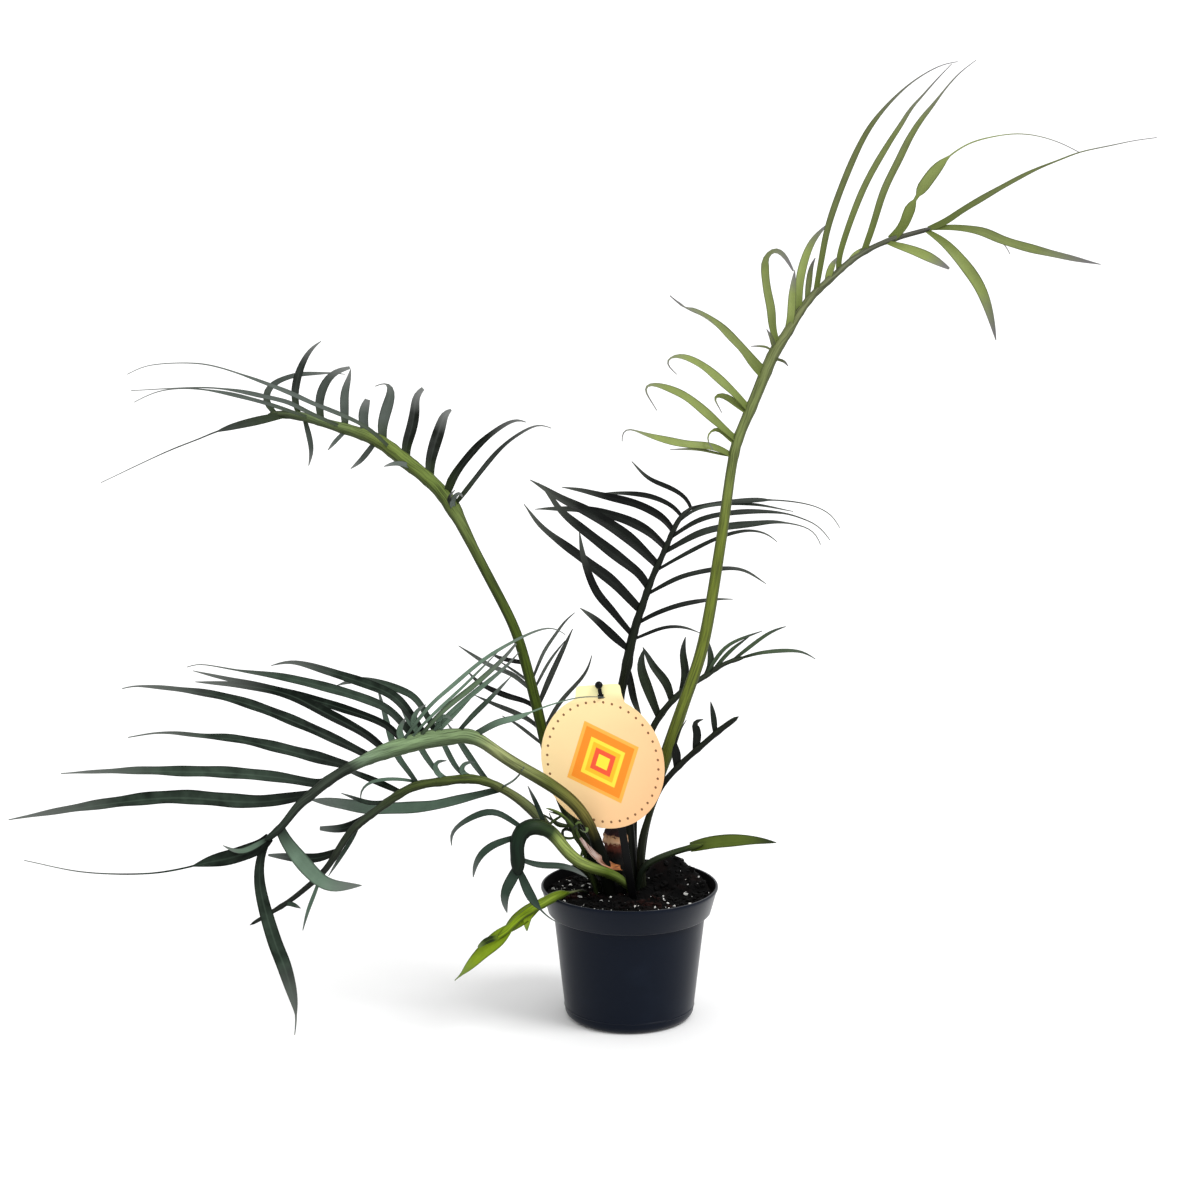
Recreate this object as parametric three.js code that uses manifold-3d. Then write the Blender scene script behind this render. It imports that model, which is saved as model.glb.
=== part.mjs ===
import * as THREE from 'three';
import { mergeVertices } from 'three/addons/utils/BufferGeometryUtils.js';
import Module from 'manifold-3d';

// A potted philodendron with feathered, twisted leaves: pot, soil, stem, label and one solid per leaf.
// Millimetres, +Z up. The origin is the centre of the pot's underside, and the viewer looks along +Y.

const wasm = await Module();
wasm.setup();

// Driving dimensions of the pot
const RIM_RADIUS = 60;
const POT_HEIGHT = 92;
const BAND_HEIGHT = 18;
const BAND_FOOT_RADIUS = 55.2;
const BODY_TOP_RADIUS = 51.4;
const BASE_RADIUS = 44;
const BASE_CORNER = 6;
const CORNER_CUT = 0.3;
const POT_WALL = 1.5;
const LIP_OVERHANG = 0.8;
const DRAIN_COUNT = 8;
const DRAIN_RADIUS = 4;
const DRAIN_CIRCLE = 30;
const DRAIN_SIDES = 10;
const POT_SIDES = 40;

// Driving dimensions of the soil
const SOIL_TOP = 86;
const SOIL_LUMP = 1.4;
const SOIL_SIDES = 32;
const SOIL_RINGS = [0.86, 0.68, 0.48, 0.28, 0.12];
const HEAP_CENTRE = new THREE.Vector2(35, 28);
const HEAP_RISE = 13;
const HEAP_SPREAD = 14;
const HOLE_DEPTH = 24;
const HOLE_GAP = 0.5;

// The stem's stub: its middle, and the radius and height of each ring of its outline
const STEM_CENTRE = new THREE.Vector2(-6, 6);
const STEM_RINGS = [[8, 64], [9, 84], [10, 92], [9, 98], [9.5, 104], [8, 111], [6.5, 116], [2, 119]];
const STEM_SIDES = 14;

// The dry sheath's line on the sheet, from the stem to its tip
const SHEATH_PATH = [
  [-4, 99, -5], [-9, 100, -13], [-16, 104, -19], [-24, 111, -25], [-30, 119, -29], [-35, 125, -30],
];
const SHEATH_WIDTH = 6.6;
const SHEATH_STEPS = 8;
const SHEATH_TAPER = [0.2, 0.9];

// Clearance between two solids that touch
const GAP = 0.3;

// Driving dimensions of the label
const CARD_HALF_WIDTH = 40;
const CARD_HALF_HEIGHT = 47;
const CARD_THICKNESS = 0.8;
const TAB_HALF_WIDTH = 15;
const TAB_RISE = 6;
const TAB_FLARE = 5;
const TAB_CORNER = 3;
const CARD_SHIFT = -1.5;
const STAKE_LEAN = THREE.MathUtils.degToRad(8.8);
const CARD_LEAN = THREE.MathUtils.degToRad(3.7);
const STAKE_WIDTH = 5.2;
const STAKE_THICKNESS = 1.4;
const STAKE_FOOT = new THREE.Vector3(7.9, -14, 50);
const SLOT_RISE = 179;
const KNOB_RISE = 187.6;
const CARD_DROP = 44;
const KNOB_RADIUS = 2.6;
const NECK_WIDTH = 2.6;
const NECK_THICKNESS = 1.2;
const BRIDGE_HEIGHT = 1.6;
const SLOT_HEIGHT = 3;

// Driving dimensions of the leaves
const BLADE_DEPTH = 1.3;
const TIP_WIDTH = 1.1;
const TIP_DEPTH = 0.7;
const STALK_SIDES = 6;
const STALK_STEP = 20;
const STALK_STEPS_LEAST = 12;
const BLADE_STEP = 21;
const BLADE_STEPS_LEAST = 4;
const BLADE_STEPS_MOST = 10;
const ROOT_LEAD = 5;
const ROOT_TAPER = 0.8;
const ROOT_OVERLAP = 1;
const LOWEST_LEAFLET = 0.8;
const LINE_SAMPLES = 240;
const BLADE_NECK = 0.6;
const LEAN_POWER = 1.2;

// The leaves are set out as they show from the front: each point is [right, up], as read on an upright
// sheet through the pot's axis at right angles to the viewer's line of sight, and its depth behind the
// axis is given beside it. The viewer's eye and the tilt of the line of sight turn that into space.
const EYE = new THREE.Vector3(-20, -1917, 693);
const SHEET_DISTANCE = 2000;
const SHEET_CENTRE = new THREE.Vector2(-20, 281);
const SIGHT_TILT = THREE.MathUtils.degToRad(11.9);
const SIGHT = new THREE.Vector3(0, Math.cos(SIGHT_TILT), -Math.sin(SIGHT_TILT));
const SHEET_UP = new THREE.Vector3(0, Math.sin(SIGHT_TILT), Math.cos(SIGHT_TILT));

// The way a blade's upper side faces when nothing turns it: up, and toward the viewer
const FACE_TILT = THREE.MathUtils.degToRad(40);
const FACE = new THREE.Vector3(0, -Math.cos(FACE_TILT), Math.sin(FACE_TILT));

// Finishes, one for each colour of the plant and its holder
function finish(color, roughness) {
  return new THREE.MeshStandardMaterial({ color, roughness, metalness: 0 });
}

const POT_PLASTIC = finish(0x222b38, 0.55);
const POTTING_MIX = finish(0x1f1512, 0.95);
const STEM_BARK = finish(0x1e1a14, 0.8);
const DRY_SHEATH = finish(0xb8734a, 0.8);
const PRINTED_CARD = finish(0xfbd5a5, 0.7);
const STAKE_PLASTIC = finish(0x141414, 0.5);
const OLIVE_LEAF = finish(0x6f8a38, 0.45);
const GREEN_LEAF = finish(0x35502e, 0.45);
const DARK_LEAF = finish(0x161c18, 0.45);
const DEEP_LEAF = finish(0x24382a, 0.45);
const LIME_LEAF = finish(0x7f9f28, 0.45);

// A closed three.js geometry as a solid that can be joined and cut
function solid(geometry) {
  const bare = geometry.clone();
  bare.deleteAttribute('normal');
  bare.deleteAttribute('uv');
  const merged = mergeVertices(bare, 1e-4);
  const vertProperties = new Float32Array(merged.attributes.position.array);
  const triVerts = new Uint32Array(merged.index.array);
  return new wasm.Manifold(new wasm.Mesh({ numProp: 3, vertProperties, triVerts }));
}

function joined(solids) {
  return solids.reduce((whole, piece) => whole.add(piece));
}

// The largest body of a solid whose cuts left loose scraps
function largestBody(whole) {
  const bodies = whole.decompose();
  return bodies.reduce((best, body) => (body.volume() > best.volume() ? body : best));
}

function meshOf(name, whole, material) {
  const { numProp, vertProperties, triVerts } = whole.getMesh();
  const position = new Float32Array(vertProperties.length / numProp * 3);
  for (let i = 0; i < position.length / 3; i += 1) {
    for (let axis = 0; axis < 3; axis += 1) {
      position[3 * i + axis] = vertProperties[numProp * i + axis];
    }
  }
  const geometry = new THREE.BufferGeometry();
  geometry.setAttribute('position', new THREE.BufferAttribute(position, 3));
  geometry.setIndex(new THREE.BufferAttribute(new Uint32Array(triVerts), 1));
  geometry.computeVertexNormals();
  const mesh = new THREE.Mesh(geometry, material);
  mesh.name = name;
  return mesh;
}

// A lathe about the pot's axis: the profile's points are [radius, height]
function lathe(profile, sides) {
  const points = profile.map(([radius, height]) => new THREE.Vector2(radius, height));
  return new THREE.LatheGeometry(points, sides).rotateX(Math.PI / 2);
}

// The pot's profile runs up the outside, over the rim and down the inside to the middle of the floor
function potProfile() {
  const bandFoot = POT_HEIGHT - BAND_HEIGHT;
  const innerBody = BODY_TOP_RADIUS - POT_WALL;
  const innerBase = BASE_RADIUS - POT_WALL;
  return [
    [0, 0],
    [BASE_RADIUS - BASE_CORNER, 0],
    [BASE_RADIUS - BASE_CORNER * CORNER_CUT, BASE_CORNER * CORNER_CUT],
    [BASE_RADIUS, BASE_CORNER],
    [BODY_TOP_RADIUS, bandFoot - POT_WALL],
    [BAND_FOOT_RADIUS, bandFoot],
    [RIM_RADIUS - LIP_OVERHANG, POT_HEIGHT - 2 * POT_WALL],
    [RIM_RADIUS, POT_HEIGHT - POT_WALL],
    [RIM_RADIUS - LIP_OVERHANG / 2, POT_HEIGHT],
    [RIM_RADIUS - POT_WALL, POT_HEIGHT],
    [BAND_FOOT_RADIUS - POT_WALL, bandFoot + POT_WALL],
    [innerBody, bandFoot],
    [innerBase, BASE_CORNER],
    [innerBase - BASE_CORNER * (1 - CORNER_CUT), POT_WALL],
    [0, POT_WALL],
  ];
}

function pot() {
  let body = solid(lathe(potProfile(), POT_SIDES));
  for (let i = 0; i < DRAIN_COUNT; i += 1) {
    const angle = (i + 0.5) * 2 * Math.PI / DRAIN_COUNT;
    const drill = new THREE.CylinderGeometry(DRAIN_RADIUS, DRAIN_RADIUS, 4 * POT_WALL, DRAIN_SIDES);
    drill.rotateX(Math.PI / 2);
    drill.translate(DRAIN_CIRCLE * Math.cos(angle), DRAIN_CIRCLE * Math.sin(angle), 0);
    body = body.subtract(solid(drill));
  }
  return body;
}

// Height of the soil above its mean level: a few waves and a heap at the right rear, both gone at the wall
function soilLump(x, y) {
  const waves = Math.sin(0.21 * x + 0.5) * Math.cos(0.17 * y) + 0.6 * Math.sin(0.37 * y - 0.29 * x);
  const outward = Math.min(1, Math.hypot(x, y) / RIM_RADIUS);
  const fromHeap = Math.hypot(x - HEAP_CENTRE.x, y - HEAP_CENTRE.y) / HEAP_SPREAD;
  const heap = HEAP_RISE * Math.exp(-(fromHeap ** 2) / 2) * (1 - outward ** 8);
  return SOIL_LUMP * (1 - outward ** 4) * (waves + 0.8) + heap;
}

// The soil fills the pot to just below the rim, a gap clear of its wall
function soil() {
  const bandFoot = POT_HEIGHT - BAND_HEIGHT;
  const innerBody = BODY_TOP_RADIUS - POT_WALL - GAP;
  const innerBase = BASE_RADIUS - POT_WALL - GAP;
  const bandInside = BAND_FOOT_RADIUS - POT_WALL - GAP;
  const bandSlope = (RIM_RADIUS - BAND_FOOT_RADIUS) / BAND_HEIGHT;
  const edge = bandInside + bandSlope * (SOIL_TOP - bandFoot - 2 * POT_WALL);
  const profile = [
    [0, POT_WALL + GAP],
    [innerBase - BASE_CORNER * (1 - CORNER_CUT), POT_WALL + GAP],
    [innerBase, BASE_CORNER],
    [innerBody, bandFoot + GAP / 2],
    [bandInside, bandFoot + POT_WALL + 2 * GAP],
    [edge, SOIL_TOP],
    ...SOIL_RINGS.map((part) => [part * edge, SOIL_TOP]),
    [0, SOIL_TOP],
  ];
  const geometry = lathe(profile, SOIL_SIDES);
  const position = geometry.attributes.position;
  for (let i = 0; i < position.count; i += 1) {
    const onTop = position.getZ(i) > SOIL_TOP - GAP;
    const inside = Math.hypot(position.getX(i), position.getY(i)) < edge - 1;
    if (onTop && inside) {
      position.setZ(i, SOIL_TOP + soilLump(position.getX(i), position.getY(i)));
    }
  }
  return solid(geometry);
}

// The stake's frame stands at its foot and leans to the left. The card's hangs at the slot and leans less.
function inStakeFrame(geometry) {
  geometry.rotateY(-STAKE_LEAN);
  return geometry.translate(STAKE_FOOT.x, STAKE_FOOT.y, STAKE_FOOT.z);
}

function inCardFrame(geometry) {
  geometry.rotateY(-CARD_LEAN);
  const slotLeft = SLOT_RISE * Math.sin(STAKE_LEAN);
  const slotUp = SLOT_RISE * Math.cos(STAKE_LEAN);
  return geometry.translate(STAKE_FOOT.x - slotLeft, STAKE_FOOT.y, STAKE_FOOT.z + slotUp);
}

// A box from its foot up, centred across, with its middle this far in front of the stake's
function standingBox(width, thickness, height, front, foot) {
  return new THREE.BoxGeometry(width, thickness, height).translate(0, -front, foot + height / 2);
}

const CARD_FRONT = STAKE_THICKNESS / 2 + GAP + CARD_THICKNESS;
const NECK_FRONT = CARD_FRONT + GAP + NECK_THICKNESS / 2;

// The stake stands behind the card. Its neck passes forward through the card's slot and ends in a knob.
function stake(grown) {
  const reach = NECK_FRONT + NECK_THICKNESS / 2;
  const neckFoot = SLOT_RISE - BRIDGE_HEIGHT / 2;
  const strip = standingBox(STAKE_WIDTH + 2 * grown, STAKE_THICKNESS + 2 * grown, SLOT_RISE + 1, 0, 0);
  const bridge = standingBox(NECK_WIDTH, reach, BRIDGE_HEIGHT, reach / 2, neckFoot);
  const neck = standingBox(NECK_WIDTH, NECK_THICKNESS, KNOB_RISE - neckFoot, NECK_FRONT, neckFoot);
  const knobFront = CARD_FRONT + GAP + KNOB_RADIUS;
  const knob = new THREE.SphereGeometry(KNOB_RADIUS, 10, 8).translate(0, -knobFront, KNOB_RISE);
  return joined([strip, bridge, neck, knob].map((part) => solid(inStakeFrame(part))));
}

// The card is an upright oval with a tab on top. The slot for the neck is a little right of its middle.
function card() {
  const tabTop = CARD_HALF_HEIGHT + TAB_RISE;
  const tabFoot = CARD_HALF_HEIGHT - 2 * TAB_RISE;
  const footHalf = TAB_HALF_WIDTH + TAB_FLARE;
  const oval = new THREE.Shape();
  oval.absellipse(0, 0, CARD_HALF_WIDTH, CARD_HALF_HEIGHT, 0, 2 * Math.PI);
  const tab = new THREE.Shape();
  tab.moveTo(-footHalf, tabFoot);
  tab.lineTo(footHalf, tabFoot);
  tab.quadraticCurveTo(TAB_HALF_WIDTH, CARD_HALF_HEIGHT, TAB_HALF_WIDTH, tabTop - TAB_CORNER);
  tab.quadraticCurveTo(TAB_HALF_WIDTH, tabTop, TAB_HALF_WIDTH - TAB_CORNER, tabTop);
  tab.lineTo(TAB_CORNER - TAB_HALF_WIDTH, tabTop);
  tab.quadraticCurveTo(-TAB_HALF_WIDTH, tabTop, -TAB_HALF_WIDTH, tabTop - TAB_CORNER);
  tab.quadraticCurveTo(-TAB_HALF_WIDTH, CARD_HALF_HEIGHT, -footHalf, tabFoot);
  const settings = { depth: CARD_THICKNESS, bevelEnabled: false, curveSegments: 16 };
  const plates = [oval, tab].map((shape) => {
    const plate = new THREE.ExtrudeGeometry(shape, settings).rotateX(Math.PI / 2);
    return solid(inCardFrame(plate.translate(CARD_SHIFT, CARD_THICKNESS - CARD_FRONT, -CARD_DROP)));
  });
  const slotWidth = NECK_WIDTH + 4 * GAP;
  const slot = standingBox(slotWidth, 4 * CARD_THICKNESS, SLOT_HEIGHT, CARD_FRONT, -SLOT_HEIGHT / 2);
  return joined(plates).subtract(solid(inCardFrame(slot)));
}

// The point in space that shows at [right, up] on the sheet and lies this far behind the pot's axis
function inSpace(point) {
  const onSheet = EYE.clone().addScaledVector(SIGHT, SHEET_DISTANCE);
  onSheet.x += point.x - SHEET_CENTRE.x;
  onSheet.addScaledVector(SHEET_UP, point.y - SHEET_CENTRE.y);
  const ray = onSheet.sub(EYE);
  return EYE.clone().addScaledVector(ray, (point.z - EYE.y) / ray.y);
}

// A smooth line through points of the sheet, each a Vector3 of right, up and behind
function smoothLine(points) {
  return new THREE.CatmullRomCurve3(points, false, 'centripetal');
}

// One of the 4-sided tubes' quads is split along its other diagonal, so that both faces of a blade match
function matchFaces(geometry, steps) {
  const index = geometry.index.array;
  for (let quad = steps; quad < 3 * steps; quad += 1) {
    const [a, b, d, , c] = index.slice(6 * quad, 6 * quad + 5);
    index.set([a, b, c, a, c, d], 6 * quad);
  }
}

// A closed tube along a line of the sheet. Its section has a half-width, a half-depth and a turn at each
// step, and a turn of 0 faces the section's depth up and toward the viewer.
function sweep(line, steps, sides, sectionAt) {
  const geometry = new THREE.CylinderGeometry(1, 1, 1, sides, steps);
  if (sides === 4) {
    matchFaces(geometry, steps);
  }
  const centres = line.getSpacedPoints(steps).map(inSpace);
  const stations = centres.map((centre, i) => {
    const before = centres[Math.max(0, i - 1)];
    const after = centres[Math.min(steps, i + 1)];
    const along = after.clone().sub(before).normalize();
    const section = sectionAt(i / steps);
    const face = FACE.clone().addScaledVector(along, -FACE.dot(along)).normalize();
    face.applyAxisAngle(along, section.turn);
    const side = face.clone().cross(along);
    return { centre, face, side, ...section };
  });
  const position = geometry.attributes.position;
  for (let i = 0; i < position.count; i += 1) {
    const station = stations[Math.round((0.5 - position.getY(i)) * steps)];
    const point = station.centre.clone();
    point.addScaledVector(station.side, position.getX(i) * station.halfWidth);
    point.addScaledVector(station.face, position.getZ(i) * station.halfDepth);
    position.setXYZ(i, point.x, point.y, point.z);
  }
  return solid(geometry);
}

// A leaf's stalk: petiole and midrib in one line, round, tapering from foot to node to tip
function stalkOf(leaf) {
  const sheetPoint = ([right, up, behind]) => new THREE.Vector3(right, up, behind);
  const petiole = leaf.petiole.map(sheetPoint);
  const midrib = leaf.midrib.map(sheetPoint);
  const line = smoothLine([...petiole, ...midrib]);
  const petioleLength = smoothLine([...petiole, midrib[0]]).getLength();
  const nodeAt = petioleLength / line.getLength();
  const [foot, node, tip] = leaf.widths;
  const widthAt = (t) => {
    if (t < nodeAt) {
      return THREE.MathUtils.lerp(foot, node, t / nodeAt);
    }
    return THREE.MathUtils.lerp(node, tip, (t - nodeAt) / (1 - nodeAt));
  };
  return { line, nodeAt, widthAt };
}

function stalkSolid(leaf, grown) {
  const { line, widthAt } = stalkOf(leaf);
  const steps = Math.max(STALK_STEPS_LEAST, Math.round(line.getLength() / STALK_STEP));
  return sweep(line, steps, STALK_SIDES, (t) => {
    const half = widthAt(t) / 2 + grown;
    return { halfWidth: half, halfDepth: half, turn: 0 };
  });
}

// The petiole goes down into the soil from the first point of its line
function rootSolid(leaf, grown) {
  const [right, up, behind] = leaf.petiole[0];
  const foot = inSpace(new THREE.Vector3(right, up, behind));
  const half = leaf.widths[0] / 2 + grown;
  const height = foot.z - (SOIL_TOP - HOLE_DEPTH) + grown;
  const plug = new THREE.CylinderGeometry(half, ROOT_TAPER * half, height, STALK_SIDES);
  plug.rotateX(Math.PI / 2);
  plug.translate(foot.x, foot.y, foot.z - height / 2 + ROOT_OVERLAP);
  return solid(plug);
}

// A leaflet's outline: how wide it is along its length, as part of its full width
function outline(t, belly, whip) {
  if (t < belly) {
    return THREE.MathUtils.lerp(BLADE_NECK, 1, Math.sin(t / belly * Math.PI / 2));
  }
  const fall = Math.min(1, (t - belly) / (whip - belly));
  return Math.sqrt(Math.max(0, 1 - fall ** 2));
}

// A leaflet leaves the midrib at the place nearest to its first point, and leans back by its tip
function leafletSolid(stalk, { width, lean, path, belly = 0.4, whip = 1, twist = 0 }) {
  const root = new THREE.Vector2(...path[0]);
  let nearest = 0;
  let least = Infinity;
  for (let i = 0; i <= LINE_SAMPLES; i += 1) {
    const share = i / LINE_SAMPLES;
    const point = stalk.line.getPointAt(share);
    const distance = Math.hypot(point.x - root.x, point.y - root.y);
    if (share > LOWEST_LEAFLET * stalk.nodeAt && distance < least) {
      least = distance;
      nearest = share;
    }
  }
  const lead = Math.max(0, nearest - ROOT_LEAD / stalk.line.getLength());
  const start = stalk.line.getPointAt(lead);
  const flat = path.slice(1).map(([right, up]) => new THREE.Vector3(right, up, start.z));
  const reach = smoothLine([start, ...flat]).getLength();
  let travelled = 0;
  const points = [start];
  for (const point of flat) {
    travelled += point.clone().setZ(0).distanceTo(points[points.length - 1].clone().setZ(0));
    points.push(point.clone().setZ(start.z + lean * Math.min(1, travelled / reach) ** LEAN_POWER));
  }
  const steps = THREE.MathUtils.clamp(Math.round(reach / BLADE_STEP), BLADE_STEPS_LEAST, BLADE_STEPS_MOST);
  return sweep(smoothLine(points), steps, 4, (t) => {
    const full = outline(t, belly, whip);
    return {
      halfWidth: Math.max(TIP_WIDTH, full * width) / 2,
      halfDepth: Math.max(TIP_DEPTH, Math.sqrt(full) * BLADE_DEPTH) / 2,
      turn: THREE.MathUtils.degToRad(twist * t),
    };
  });
}

function leafSolid(leaf) {
  const stalk = stalkOf(leaf);
  const leaflets = leaf.leaflets.map((leaflet) => leafletSolid(stalk, leaflet));
  return joined([stalkSolid(leaf, 0), rootSolid(leaf, 0), ...leaflets]);
}

function leaflet(width, lean, path, shape = {}) {
  return { width, lean, path, ...shape };
}

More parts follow.
